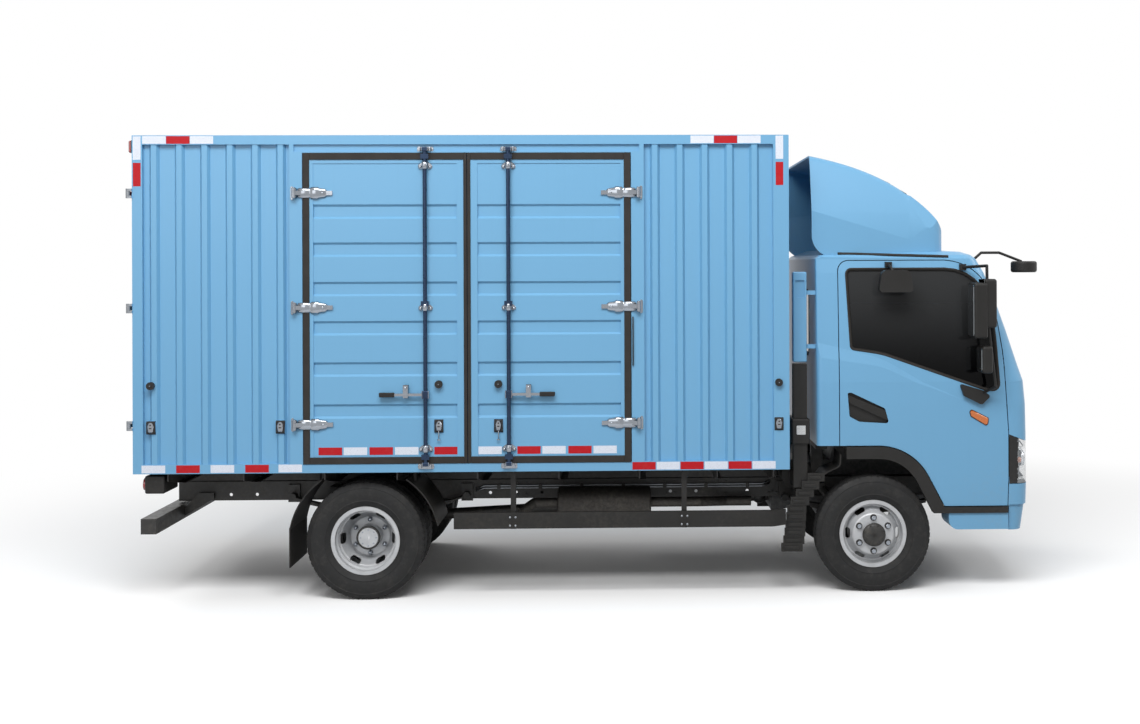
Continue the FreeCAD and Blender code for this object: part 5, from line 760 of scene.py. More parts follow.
# (across, radius) from the shoulder to the bead, with two moulded rings
SIDEWALL = [(0.0880, 0.364), (0.0945, 0.352), (0.0965, 0.350), (0.0965, 0.346), (0.0955, 0.344),
            (0.0985, 0.330), (0.1000, 0.308), (0.0990, 0.288), (0.0955, 0.268), (0.0968, 0.266),
            (0.0968, 0.262), (0.0945, 0.260), (0.0880, 0.244), (0.0790, 0.233), (0.0760, 0.228),
            (0.0725, 0.222), (0.0715, 0.2065)]
FRONT_WHEEL_Y = 0.835
REAR_OUTER_Y = 0.935
REAR_INNER_Y = 0.670
TYRE_SETS = (("front", "front_tyre_", FRONT_AXLE_X, (FRONT_WHEEL_Y,)),
             ("rear", "rear_tyres_", REAR_AXLE_X, (REAR_OUTER_Y, REAR_INNER_Y)))


def tread_ring(share, notch):
    """(across, radius) points of one cross section; the zigzag grooves swing along the pitch."""
    swing = ZIGZAG * (1 if share < 0.5 else -1)
    shoulder = TYRE_RADIUS - SHOULDER_DROP - SHOULDER_NOTCH * notch
    edge = TYRE_RADIUS - EDGE_DROP - EDGE_NOTCH * notch
    flank = [(TREAD_HALF + 0.004, edge), (TREAD_HALF - 0.002, shoulder), (0.056, shoulder + 0.001)]
    crown = [(-across, radius) for across, radius in flank]
    for centre in GROOVES:
        low, high = centre + swing - GROOVE_HALF, centre + swing + GROOVE_HALF
        floor = TYRE_RADIUS - GROOVE_DEPTH
        crown += [(low - 0.001, TREAD_TOP), (low, floor), (high, floor), (high + 0.001, TREAD_TOP)]
    return crown + flank[::-1]


def tyre_mesh(build, x, y):
    """One tyre on the wheel axis at (x, y)."""
    verts = []
    for pitch in range(PITCHES):
        for share, notch in TREAD_STATIONS:
            angle = 2 * math.pi * (pitch + share) / PITCHES
            ring = [(-across, r) for across, r in SIDEWALL[::-1]] + tread_ring(share, notch) + SIDEWALL
            verts += [(x + r * math.sin(angle), y + across, AXLE_Z + r * math.cos(angle))
                      for across, r in ring]
    stations = PITCHES * len(TREAD_STATIONS)
    build.add(verts, turned_over(bridged(stations, len(verts) // stations, loop=True)), 0, True)


def tyres():
    for side, s in SIDES:
        for end, node, x, places in TYRE_SETS:
            build = Builder()
            for y in places:
                tyre_mesh(build, x, s * y)
            obj = build.build(f"{end}_tyre_tread_{side}", ["tyre_rubber"], f"{end}_wheel_{side}")
            finish_normals(obj, 35)
            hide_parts(node + side)


# Wheel nuts, valves and hub caps

STUDS = 6
STUD_CIRCLE = 0.111
CAP_BOLTS = 8
WASHER_RADIUS = 0.0225
NUT_RADIUS = 0.0175
FRONT_CAP = [(0.0, 0.0), (0.076, 0.0), (0.078, 0.003), (0.077, 0.010), (0.058, 0.019), (0.034, 0.023),
             (0.0, 0.024)]
REAR_CAP = [(0.0, 0.002), (0.060, 0.002), (0.064, 0.006), (0.076, 0.006), (0.079, 0.002), (0.079, -0.050),
            (0.0, -0.050)]


def on_circle(centre, radius, count, first=0.0):
    """Even places round a wheel's axis, the first one at an angle in degrees from the top."""
    turns = [math.radians(first + 360 * i / count) for i in range(count)]
    return [centre + Vector((radius * math.sin(a), 0, radius * math.cos(a))) for a in turns]


def front_fittings(side, s):
    """Domed chrome nuts, a black hub cap with its bolts, and the valve."""
    out = Vector((0, s, 0))
    face = Vector((FRONT_AXLE_X, s * (FRONT_WHEEL_Y + 0.098), AXLE_Z))
    build = Builder()
    for spot in on_circle(face, STUD_CIRCLE, STUDS):
        build.disc(spot, out, WASHER_RADIUS, 0.003, 20, 2, smooth=False)
        build.disc(spot + out * 0.004, out, NUT_RADIUS, 0.019, 6, 0, dome=0.004, smooth=False)
    cap = face + out * 0.020
    build.spun(FRONT_CAP, cap, out, 40, 2)
    for spot in on_circle(cap + out * 0.0155, 0.064, CAP_BOLTS, 22):
        build.hexagon(spot, out, 0.0060, 0.006, 2)
    build.tube([face + Vector((0.166, -s * 0.045, 0.05)), face + Vector((0.168, -s * 0.02, 0.05))],
               0.004, 8, 1)
    build.build("front_wheel_fittings_" + side, ["chrome", "chrome", "black_steel"], "front_wheel_" + side)


def rear_fittings(side, s):
    """Chrome nuts with round ends on black washers, the end of the hub with its bolts, and the valve."""
    out = Vector((0, s, 0))
    face = Vector((REAR_AXLE_X, s * (REAR_OUTER_Y + REAR_INNER_Y) / 2, AXLE_Z))
    build = Builder()
    for spot in on_circle(face + out * 0.001, STUD_CIRCLE, STUDS):
        build.disc(spot, out, WASHER_RADIUS, 0.004, 18, 0, smooth=False)
        build.disc(spot + out * 0.004, out, NUT_RADIUS, 0.028, 6, 1, smooth=False)
        build.disc(spot + out * 0.032, out, 0.0140, 0.004, 14, 1, dome=0.007)
    hub = face + out * 0.098
    build.spun(REAR_CAP, hub, out, 40, 0)
    for spot in on_circle(hub + out * 0.002, 0.051, CAP_BOLTS):
        build.hexagon(spot, out, 0.0065, 0.006, 1)
    build.tube([face + Vector((0.150, s * 0.02, 0.09)), face + Vector((0.150, s * 0.11, 0.09))], 0.0045, 8, 1)
    build.build("rear_wheel_fittings_" + side, ["black_steel", "chrome"], "rear_wheel_" + side)


def wheel_hardware():
    for side, s in SIDES:
        front_fittings(side, s)
        rear_fittings(side, s)


# Finishes of the CAD nodes

PLAIN_FINISH = {
    "black_steel": ("frame_rails", "frame_crossmembers", "box_bearers", "rear_underrun", "front_axle",
                    "rear_axle", "leaf_springs", "drive_shaft", "front_knuckle_right",
                    "front_knuckle_left", "shock_absorbers"),
    "black_plastic": ("door_mirrors_right", "door_mirror_left", "rear_mudguards", "front_mudguards",
                      "battery_box", "arch_flares", "grille", "dashboard", "front_view_mirror", "side_guards",
                      "air_cleaner"),
    "body_paint": ("box_left_wall", "box_front_wall", "box_roof", "cab_front_panel", "front_bumper",
                   "cab_steps", "wind_deflector", "intake_snorkel"),
    "tank_alloy": ("fuel_tank",),
    "exhaust_steel": ("exhaust",),
    "engine_iron": ("engine_block",),
    "pane": ("cab_door_glass_right", "cab_door_glass_left"),
    "windscreen": ("cab_glass",),
    "rim_silver": ("front_wheel_right", "front_wheel_left", "rear_wheel_right", "rear_wheel_left"),
    "tyre_rubber": ("front_tyre_right", "front_tyre_left", "rear_tyres_right", "rear_tyres_left"),
    "seat_cloth": ("seats",),
}
STOP_Z = 1.418
STOP_HALF = 0.028
CATCH_Z = 1.146
CATCH_HALF = 0.046
CATCH_REACH = 0.032
CATCH_X = (-1.362, -0.530, 0.494, 0.881, 2.713)
GRIP_Z = 1.352
GRIP_HALF = 0.018
GRIP_X = (0.160, 1.200)
GRIP_REACH = 0.053
SIDE_FACE = -BOX_SIDE_Y - 0.0004
REAR_FACE = BOX_REAR_X - 0.0004
CAB_MIDDLE = Vector((2.25, 0.0, 1.60))
TRIM_Y, SILL_Y, SILL_Z = 0.93, 0.94, 0.98
LENS_FACE_X = BOX_REAR_X + 0.0605
RED_LENS_Y, AMBER_LENS_Y = 0.96, 0.86
PAINT, METAL, RUBBER, ROD = 0, 1, 2, 3
ROD_HALF = 0.013
HANDLE_LOW_Z, HANDLE_HIGH_Z = 1.126, 1.336
HANDLE_REAR_X, HANDLE_FRONT_X = 3.180, 3.478
HANDLE_FACE_Y = 0.9578


def outside_side(centre, normal):
    """Load box side: paint, with metal hinges and rubber stops that stand out of its face."""
    if centre.y > SIDE_FACE:
        return PAINT
    x = centre.x - REAR_AXLE_X
    stop = abs(centre.z - STOP_Z) < STOP_HALF
    catch = abs(centre.z - CATCH_Z) < CATCH_HALF and any(abs(x - c) < CATCH_REACH for c in CATCH_X)
    grip = abs(centre.z - GRIP_Z) < GRIP_HALF and any(abs(x - g) < GRIP_REACH for g in GRIP_X)
    if stop or catch or grip:
        return RUBBER
    return ROD if any(abs(x - rod) < ROD_HALF for rod in SIDE_ROD_X.values()) else METAL


def outside_rear(centre, normal):
    return METAL if centre.x < REAR_FACE else PAINT


def floor_sides(centre, normal):
    return 0 if normal.z > 0.5 else 1


def cab_sides(centre, normal):
    """Cab shell: paint outside, dark trim inside and black below."""
    if (centre - CAB_MIDDLE).dot(normal) < 0 and abs(centre.y) < TRIM_Y:
        return 1
    return 1 if normal.z < -0.4 or centre.z < SILL_Z and abs(centre.y) < SILL_Y else 0


def door_sides(centre, normal):
    inside = normal.y * centre.y < -0.1
    handle = (HANDLE_LOW_Z < centre.z < HANDLE_HIGH_Z and abs(centre.y) < HANDLE_FACE_Y
              and HANDLE_REAR_X < centre.x - REAR_AXLE_X < HANDLE_FRONT_X)
    return 1 if inside or handle else 0


def lamp_sides(centre, normal):
    """Tail lamps: black case with red, amber and white lenses."""
    if centre.x > LENS_FACE_X:
        return 0
    place = abs(centre.y)
    if place > RED_LENS_Y:
        return 1
    return 2 if place > AMBER_LENS_Y else 3


def headlamp_sides(centre, normal):
    """Clear cover outside, dark case behind and around it."""
    return 0 if normal.x > 0.25 and abs(normal.z) < 0.6 else 1


def dress_nodes():
    for finish, nodes in PLAIN_FINISH.items():
        for node in nodes:
            dress(node, finish)
    for node in ("box_right_wall", "side_door_rear", "side_door_front"):
        dress(node, "body_paint", "chrome", "rubber", "rod_steel_blue_reflection", choose=outside_side)
    for node in ("box_rear_frame", "rear_door_right", "rear_door_left"):
        dress(node, "body_paint", "zinc", choose=outside_rear)
    dress("box_floor", "floor_board", "black_steel", choose=floor_sides)
    dress("cab_shell", "body_paint", "black_plastic", choose=cab_sides)
    for side in ("right", "left"):
        dress("cab_door_" + side, "body_paint", "black_plastic", choose=door_sides)
    dress("headlamps", "clear_lens", "lamp_case", choose=headlamp_sides)
    dress("tail_lamps", "black_plastic", "lens_red", "lens_amber", "lens_white", choose=lamp_sides)


# Places on the skin of the CAD nodes

FROM_RIGHT = Vector((0, 1, 0))
FROM_FRONT = Vector((-1, 0, 0))
FROM_REAR = Vector((1, 0, 0))
FAR = 6.0


class Skin:
    """Looks along one direction at some nodes; places on the picture plane are (u, v)."""

    def __init__(self, look, *nodes):
        verts, faces = [], []
        for node in nodes:
            mesh = NODES[node].data
            start = len(verts)
            verts += [v.co.copy() for v in mesh.vertices]
            faces += [[start + i for i in p.vertices] for p in mesh.polygons]
        self.tree = BVHTree.FromPolygons(verts, faces)
        self.look = look

    def spread(self, u, v):
        """(u, v) as a vector: along the length or the width, and up."""
        return Vector((u, 0, v)) if self.look.x == 0 else Vector((0, u, v))

    def meet(self, u, v):
        """Point and outward normal of the first surface."""
        hit, normal, _, _ = self.tree.ray_cast(self.spread(u, v) - self.look * FAR, self.look)
        if hit is None:
            raise ValueError(f"no skin at {u:.3f}, {v:.3f}")
        return hit, -normal if normal.dot(self.look) > 0 else normal


def rounded(corners, steps=6):
    """Closed outline from (u, v) or (u, v, radius) corners."""
    points = []
    count = len(corners)
    for i, corner in enumerate(corners):
        here = Vector(corner[:2])
        if len(corner) < 3:
            points.append(here)
            continue
        radius = corner[2]
        before = (Vector(corners[i - 1][:2]) - here).normalized()
        after = (Vector(corners[(i + 1) % count][:2]) - here).normalized()
        half = before.angle(after) / 2
        centre = here + (before + after).normalized() * (radius / math.sin(half))
        reach = radius / math.tan(half)
        first, last = here + before * reach - centre, here + after * reach - centre
        start = math.atan2(first.y, first.x)
        turn = math.atan2(last.y, last.x) - start
        turn = (turn + math.pi) % (2 * math.pi) - math.pi
        for k in range(steps + 1):
            a = start + turn * k / steps
            points.append(centre + Vector((math.cos(a), math.sin(a))) * radius)
    return points


def evened(points, spacing=0.03):
    """Outline with more points on its long runs."""
    result = []
    for a, b in zip(points, points[1:] + points[:1]):
        steps = max(1, round((b - a).length / spacing))
        result += [a.lerp(b, k / steps) for k in range(steps)]
    return result


def outward(points):
    """Unit vectors out of a closed outline at each of its points."""
    area = sum(a.x * b.y - b.x * a.y for a, b in zip(points, points[1:] + points[:1]))
    side = 1 if area > 0 else -1
    result = []
    for i in range(len(points)):
        along = points[(i + 1) % len(points)] - points[i - 1]
        result.append(Vector((along.y, -along.x)).normalized() * side)
    return result


def shrunk(points, inset):
    return [p - n * inset for p, n in zip(points, outward(points))]


def moved(corners, x, z=0.0):
    """(along, up, radius) corners, moved to a place."""
    return [(x + along, z + up, radius) for along, up, radius in corners]


def rounded_rect(x0, x1, z0, z1, radius, steps=4):
    return rounded([(x0, z0, radius), (x1, z0, radius), (x1, z1, radius), (x0, z1, radius)], steps)


SKIN_MARGIN = 0.008


def sweep_round(build, skin, outline, section):
    """Sweeps a closed section of (out of the outline, out of the skin) points round an opening."""
    points = evened(outline)
    verts = []
    for p, n in zip(points, outward(points)):
        hit, normal = skin.meet(*(p + n * SKIN_MARGIN))
        flat = skin.spread(*n)
        flat = (flat - normal * flat.dot(normal)).normalized()
        base = hit - flat * SKIN_MARGIN
        verts += [base + flat * a + normal * b for a, b in section]
    build.add(verts, turned_over(bridged(len(points), len(section), loop=True)), 0, True)


def rimmed(build, rings, slot):
    """Plate from three rings of points, the last one round its face."""
    count = len(rings[0])
    face = [2 * count + i for i in range(count)]
    build.add([p for ring in rings for p in ring], [*bridged(3, count), face], slot, False)


def skin_plate(build, skin, outline, proud, edge, slot=0, sink=0.003):
    """Plate that follows the skin, with a rounded rim."""
    def lifted(ring, height):
        return [hit + normal * height for hit, normal in (skin.meet(p.x, p.y) for p in ring)]
    rings = [lifted(outline, -sink), lifted(outline, proud - edge), lifted(shrunk(outline, edge), proud)]
    rimmed(build, rings, slot)


def flat_plate(build, outline, place, depth, edge, slot=0):
    """Level plate with a chamfered rim; place turns (u, v, out) into a point."""
    rings = ((outline, 0.0), (outline, depth - edge), (shrunk(outline, edge), depth))
    rimmed(build, [[place(p.x, p.y, height) for p in ring] for ring, height in rings], slot)


def off_side(face_y):
    """Turns (along, up, out) into a point off an upright face of the right side."""
    return lambda along, up, out: (along, -face_y - out, up)


# Glass seals, lamps and trim of the cab

SEAL_SECTION = [(0.0075, 0.0002), (0.0065, 0.0022), (-0.002, 0.0028), (-0.013, -0.010), (-0.013, -0.0145),
                (-0.001, -0.0145)]
# Openings as the CAD cuts them, along given from the rear axle on the doors
DOOR_WINDOW = ((3.186, 2.158, 0.036), (3.214, 1.624, 0.026), (3.420, 1.592, 0.5), (4.112, 1.348, 0.13),
               (4.206, 1.342, 0.044), (4.178, 1.740, 0.9), (4.105, 2.158, 0.3))
WINDSCREEN = ((-0.830, 1.448, 0.06), (0.830, 1.448, 0.06), (0.790, 2.170, 0.09), (-0.790, 2.170, 0.09))
REAR_WINDOW = ((-0.520, 1.560, 0.06), (0.520, 1.560, 0.06), (0.520, 2.010, 0.06), (-0.520, 2.010, 0.06))
INDICATOR = ((3.999, 1.222, 0.012), (4.128, 1.158, 0.012), (4.120, 1.108, 0.012), (4.013, 1.172, 0.012))
INDICATOR_RIM = 0.005


def glass_seals():
    door = Skin(FROM_RIGHT, "cab_door_right")
    on_pair("window_seal_{}", ["seal"], "cab_door_{}",
            lambda build: sweep_round(build, door, rounded(moved(DOOR_WINDOW, REAR_AXLE_X)), SEAL_SECTION))
    for name, look, corners in (("windscreen_seal", FROM_FRONT, WINDSCREEN),
                                ("rear_window_seal", FROM_REAR, REAR_WINDOW)):
        build = Builder()
        sweep_round(build, Skin(look, "cab_shell"), rounded(corners), SEAL_SECTION)
        recalculated(build.build(name, ["seal"], "cab"))


def side_indicators():
    """Amber repeater in the front end of each door, with a dark base."""
    skin = Skin(FROM_RIGHT, "cab_door_right")
    outline = rounded(moved(INDICATOR, REAR_AXLE_X), 4)

    def draw(build):
        skin_plate(build, skin, shrunk(outline, -INDICATOR_RIM), 0.003, 0.0015, 1)
        skin_plate(build, skin, outline, 0.011, 0.004, 0)
    on_pair("side_indicator_{}", ["lens_amber", "black_plastic"], "cab_door_{}", draw)


LAMP_FRONT_X = 2.9805
LAMP_BEND = 5.27
LAMP_CORNER_Y = 0.856
LAMP_CORNER = 0.104
LAMP_UNITS = ((0.628, 0.868, 0.058), (0.762, 0.868, 0.050))
LIGHT_STRIPS_Z = (0.748, 0.757)
BROW_Z, BROW_FALL = 0.975, 0.02
PROJECTOR_LENS = [(0.0, 0.024), (0.012, 0.0225), (0.021, 0.018), (0.027, 0.009), (0.027, 0.002), (0.0, 0.001)]
PROJECTOR_RING = [(0.027, 0.002), (0.033, 0.002), (0.033, 0.012), (0.027, 0.012)]
TURN_LAMP = [(0.0, 0.020), (0.016, 0.016), (0.022, 0.004), (0.022, 0.0), (0.0, 0.0)]
TURN_LAMP_PLACE, TURN_LAMP_AXIS = (2.858, -0.882, 0.868), (0.75, -0.66, 0)
FOG_BEZEL = [(0.0, 0.004), (0.020, 0.005), (0.036, 0.012), (0.0385, 0.012), (0.044, 0.0115),
             (0.044, 0.0), (0.0, 0.0)]
FOG_LENS = [(0.0, 0.0145), (0.018, 0.0138), (0.032, 0.012), (0.0375, 0.009), (0.0375, 0.005), (0.0, 0.005)]
FOG_Y, FOG_Z = -0.690, 0.506


def lamp_x(y):
    """Front face of the cab at a distance from the middle plane, at the height of the lamps."""
    return LAMP_FRONT_X - y * y / (2 * LAMP_BEND)


def lamp_line(inset, z, start=0.56, end_x=2.80):
    """Line inside the headlamp cover, from its inner end round the corner to the side."""
    steps = 8
    points = []
    for k in range(steps + 1):
        y = start + (LAMP_CORNER_Y - start) * k / steps
        points.append((lamp_x(y) - inset, -y, z))
    middle_x = lamp_x(LAMP_CORNER_Y) - LAMP_CORNER
    r = LAMP_CORNER - inset
    for k in range(1, steps + 1):
        a = math.pi / 2 * k / steps
        points.append((middle_x + r * math.cos(a), -LAMP_CORNER_Y - r * math.sin(a), z))
    return [*points, (end_x, -LAMP_CORNER_Y - r, z)]


def headlamp_insides():
    """Reflector bowls with projector lenses, light strips and an amber unit behind each cover."""
    ahead = (1, 0, 0)

    def draw(build):
        for y, z, r in LAMP_UNITS:
            base = (lamp_x(y) - 0.041, -y, z)
            bowl = [(0.020, 0.0), (r * 0.62, 0.006), (r * 0.9, 0.020), (r, 0.033), (r + 0.004, 0.033),
                    (r + 0.004, -0.002), (0.0, -0.002)]
            build.spun(bowl, base, ahead, 40, 0)
            build.spun(PROJECTOR_LENS, base, ahead, 32, 1)
            build.spun(PROJECTOR_RING, base, ahead, 32, 2)
        for z in LIGHT_STRIPS_Z:
            build.tube(lamp_line(0.016, z), 0.0045, 8, 3)
        brow = lamp_line(0.018, 0.0, 0.57, 2.86)
        falls = [BROW_Z - BROW_FALL * k / (len(brow) - 1) for k in range(len(brow))]
        build.tube([(x, y, z) for (x, y, _), z in zip(brow, falls)], 0.004, 8, 3)
        build.spun(TURN_LAMP, TURN_LAMP_PLACE, TURN_LAMP_AXIS, 24, 4)
    slots = ["reflector", "projector", "black_plastic", "lens_white", "lens_amber"]
    on_pair("headlamp_inside_{}", slots, "cab", draw)


def fog_lamps():
    skin = Skin(FROM_FRONT, "front_bumper")

    def draw(build):
        floor, normal = skin.meet(FOG_Y, FOG_Z)
        build.spun(FOG_BEZEL, floor, normal, 36, 0)
        build.spun(FOG_LENS, floor, normal, 36, 1)
    on_pair("fog_lamp_{}", ["black_plastic", "lens_white"], "cab", draw)


MIRROR_X, MIRROR_Y = REAR_AXLE_X + 4.120, -1.090
# Back from the foot, side to side, up, and the rim round the glass
MIRROR_PANES = ((-0.136, -0.100, 0.100, 1.702, 2.064, 0.014), (-0.064, -0.080, 0.080, 2.066, 2.088, 0.002),
                (-0.082, -0.090, 0.080, 1.472, 1.650, 0.014))


def mirror_faces():
    """Silvered glass in the rear face of each mirror head."""
    def draw(build):
        for back, y0, y1, z0, z1, rim in MIRROR_PANES:
            x = MIRROR_X + back
            outline = rounded_rect(MIRROR_Y + y0 + rim, MIRROR_Y + y1 - rim, z0 + rim, z1 - rim, 0.02)
            flat_plate(build, outline, lambda across, up, out: (x - out, across, up), 0.0015, 0.001)
    on_pair("mirror_faces_{}", ["mirror"], "cab_door_{}", draw)


# Pivot and tip of each arm across the cab
WIPERS = ((0.62, 0.06), (-0.06, -0.62))
WIPER_PIVOT_Z, ELBOW_Z, CLIP_Z = 1.420, 1.475, 1.512
BLADE_Z, BLADE_RISE, BLADE_STEPS = 1.494, 0.024, 12


def wipers():
    """Two arms with blades lying along the foot of the windscreen."""
    glass_skin = Skin(FROM_FRONT, "cab_glass")
    body_skin = Skin(FROM_FRONT, "cab_shell", "cab_front_panel")

    def over_glass(y, z, height):
        hit, out = glass_skin.meet(y, z)
        return hit + out * height
    build = Builder()
    for pivot_y, tip_y in WIPERS:
        pivot, normal = body_skin.meet(pivot_y, WIPER_PIVOT_Z)
        build.disc(pivot - normal * 0.002, normal, 0.019, 0.016, 20, 0, dome=0.006)
        build.tube([pivot + normal * 0.012, over_glass(pivot_y - 0.05, ELBOW_Z, 0.026),
                    over_glass((pivot_y + tip_y) / 2, CLIP_Z, 0.022)], 0.0065, 8)
        start_y = pivot_y - 0.02
        shares = [k / BLADE_STEPS for k in range(BLADE_STEPS + 1)]
        line = [(start_y + (tip_y - start_y) * share, BLADE_Z + BLADE_RISE * share) for share in shares]
        build.tube([over_glass(y, z, 0.011) for y, z in line], 0.0055, 6)
        build.tube([over_glass(y, z, 0.003) for y, z in line], 0.0028, 6, 1)
    build.build("wipers", ["black_steel", "rubber"], "cab")


# Half width, low and high edge, and depth behind the lamp face
MESH_PANELS = ((0.476, 0.794, 1.006, 0.036), (0.424, 0.466, 0.560, 0.046))
MESH_COLUMNS = 24


def front_meshes():
    """Woven mesh behind the grille bars and in the air slot of the bumper."""
    build = Builder()
    for half, low, high, depth in MESH_PANELS:
        places = [-half + 2 * half * k / MESH_COLUMNS for k in range(MESH_COLUMNS + 1)]
        verts = [(lamp_x(abs(y)) - depth, y, z) for y in places for z in (low, high)]
        build.add(verts, [(2 * k, 2 * k + 2, 2 * k + 3, 2 * k + 1) for k in range(MESH_COLUMNS)], 0, True)
    build.build("front_meshes", ["mesh_screen"], "cab")


# Fittings of the load box

SIDE_HINGE_X = {"side_door_rear": -0.434, "side_door_front": 1.797}
SIDE_ROD_X = {"side_door_rear": 0.410, "side_door_front": 0.950}
DOOR_CATCH_X = {"side_door_rear": 0.494, "side_door_front": 0.881}
TOWARDS = {"side_door_rear": 1, "side_door_front": -1}
LEVER_GRIP = {"side_door_rear": -0.300, "side_door_front": 0.200}
HINGE_HEIGHTS = (1.160, 1.920, 2.664)
# (along, half height, depth) from the pin
HINGE_BODY = ((0.016, 0.020, 0.004), (0.022, 0.031, 0.014), (0.056, 0.035, 0.019), (0.094, 0.034, 0.018),
              (0.100, 0.028, 0.012), (0.106, 0.038, 0.018), (0.150, 0.040, 0.019), (0.158, 0.033, 0.014),
              (0.196, 0.027, 0.011), (0.210, 0.017, 0.004))
GUIDE_HEIGHTS = (1.000, 1.919, 2.841)
GUIDE_FLANGE = ((-0.046, -0.020, 0.012), (0.046, -0.020, 0.012), (0.046, 0.004, 0.012), (0.016, 0.026, 0.010),
                (-0.016, 0.026, 0.010), (-0.046, 0.004, 0.012))
GUIDE_COLLAR = [(0.0145, -0.024), (0.019, -0.020), (0.019, 0.020), (0.0145, 0.024)]
KEEPERS = ((0.884, BOX_SIDE_Y), (2.948, BOX_SIDE_Y - 0.014))
ROD_Y = BOX_SIDE_Y + 0.022
WALL_CATCH_X = (-1.362, -0.530, 2.713)
WALL_STOP_X = (-1.362, 2.713)
STOP_FACE_Y = BOX_SIDE_Y + 0.026
BUCKLE = ((-0.014, -0.030, 0.008), (0.014, -0.030, 0.008), (0.021, 0.010, 0.012), (0.010, 0.034, 0.012),
          (-0.010, 0.034, 0.012), (-0.021, 0.010, 0.012))


def domed_run(build, stations, place, steps=10):
    """Lofts half ellipses of (along, half height, depth); place turns (along, up, out) into a point."""
    verts = []
    for along, half, depth in stations:
        for k in range(steps + 1):
            a = math.pi * k / steps
            verts.append(place(along, half * math.cos(a), depth * math.sin(a) ** 0.7))
    rings, count = len(stations), steps + 1
    build.add(verts, bridged(rings, count) + caps(rings, count), 0, True)


def hinge_fittings():
    """Domed bodies over the straps, riding on each door, and winged plates on the jambs."""
    wings = Builder()
    face = -BOX_SIDE_Y - 0.001
    for door, start in SIDE_HINGE_X.items():
        towards = TOWARDS[door]
        pin = REAR_AXLE_X + start
        near, far = pin - towards * 0.002, pin - towards * 0.027
        build = Builder()
        for z in HINGE_HEIGHTS:
            domed_run(build, HINGE_BODY, lambda along, up, out: (pin + towards * along, face - out, z + up))
            build.disc((pin + towards * 0.180, face - 0.0115, z), RIGHT, 0.008, 0.004, dome=0.002)
            outline = rounded([(near, z - 0.031), (far, z - 0.046, 0.006), (far, z + 0.046, 0.006),
                               (near, z + 0.031)], 3)
            flat_plate(wings, outline, off_side(BOX_SIDE_Y), 0.004, 0.0015)
            for end in (-1, 1):
                wings.hexagon((pin - towards * 0.017, -BOX_SIDE_Y - 0.004, z + end * 0.036), RIGHT,
                              0.006, 0.005)
                wings.disc((pin, -BOX_SIDE_Y - 0.030, z + end * 0.031), (0, 0, end), 0.0105, 0.004, 20,
                           dome=0.003)
        recalculated(build.build(door + "_hinge_bolts", ["chrome"], door))
    recalculated(wings.build("hinge_wings", ["chrome"], "chassis"))


def rod_guide(build, x, z):
    """Flange with two bolts, a post and the collar round the lock rod."""
    flat_plate(build, rounded(moved(GUIDE_FLANGE, x, z), 4), off_side(DOOR_FACE_Y + 0.001), 0.007, 0.002)
    for end in (-1, 1):
        build.disc((x + end * 0.032, -DOOR_FACE_Y - 0.007, z - 0.007), RIGHT, 0.0105, 0.009, dome=0.004)
    build.spun(GUIDE_COLLAR, (x, -ROD_Y, z), (0, 0, 1), 20)
    build.box((x - 0.015, -ROD_Y, z - 0.018), (x + 0.015, -DOOR_FACE_Y - 0.004, z + 0.018), 0, 0.003)


def rod_keeper(build, x, z, face):
    """Plate on a rail, with two cheeks and two bolts, for the end of a lock rod."""
    outline = rounded_rect(x - 0.053, x + 0.053, z - 0.018, z + 0.018, 0.010)
    flat_plate(build, outline, off_side(face), 0.004, 0.0015)
    for end in (-1, 1):
        cheek = x + end * 0.033
        build.box((cheek - 0.005, -BOX_SIDE_Y - 0.034, z - 0.013),
                  (cheek + 0.005, -face - 0.002, z + 0.013), 0, 0.002)
        build.hexagon((x + end * 0.045, -face - 0.004, z), RIGHT, 0.0055, 0.005)


def lock_fittings():
    """Guides and a ribbed lever grip on each side door, and keepers for the rod ends on the rails."""
    keepers = Builder()
    for door, start in SIDE_ROD_X.items():
        x = REAR_AXLE_X + start
        build = Builder()
        for z in GUIDE_HEIGHTS:
            rod_guide(build, x, z)
        for k in range(7):
            rib = x + LEVER_GRIP[door] + 0.014 + 0.012 * k
            build.box((rib, -ROD_Y - 0.0155, 1.340), (rib + 0.005, -BOX_SIDE_Y - 0.012, 1.364), 1, 0.001)
        build.disc((x - TOWARDS[door] * 0.128, -BOX_SIDE_Y - 0.036, 1.397), RIGHT, 0.009, 0.008, dome=0.002)
        build.build(door + "_lock_fittings", ["chrome", "black_plastic"], door)
        for z, face in KEEPERS:
            rod_keeper(keepers, x, z, face)
    keepers.build("lock_keepers", ["chrome"], "chassis")


def buckle(build, x, pull):
    """Plated buckle on a catch plate, with a hanging pull where asked."""
    face = BOX_SIDE_Y + 0.009
    flat_plate(build, rounded(moved(BUCKLE, x, CATCH_Z), 4), off_side(face), 0.010, 0.004)
    build.box((x - 0.008, -face - 0.0115, CATCH_Z - 0.006),
              (x + 0.008, -face - 0.009, CATCH_Z + 0.001), 1, 0.001)
    build.disc((x, -face - 0.010, CATCH_Z + 0.018), RIGHT, 0.005, 0.002, 12, 1)
    if pull:
        low, y = CATCH_Z - 0.090, -face - 0.003
        build.tube([(x, -face - 0.004, CATCH_Z - 0.026), (x, y, CATCH_Z - 0.088)], 0.0028, 8, 2)
        build.tube([(x - 0.011, y, low), (x + 0.011, y, low)], 0.0038, 8, 2)


def stop_screw(build, x):
    build.disc((x, -STOP_FACE_Y, STOP_Z), RIGHT, 0.0125, 0.002, 18, 1)
    build.hexagon((x, -STOP_FACE_Y - 0.001, STOP_Z), RIGHT, 0.0045, 0.004)


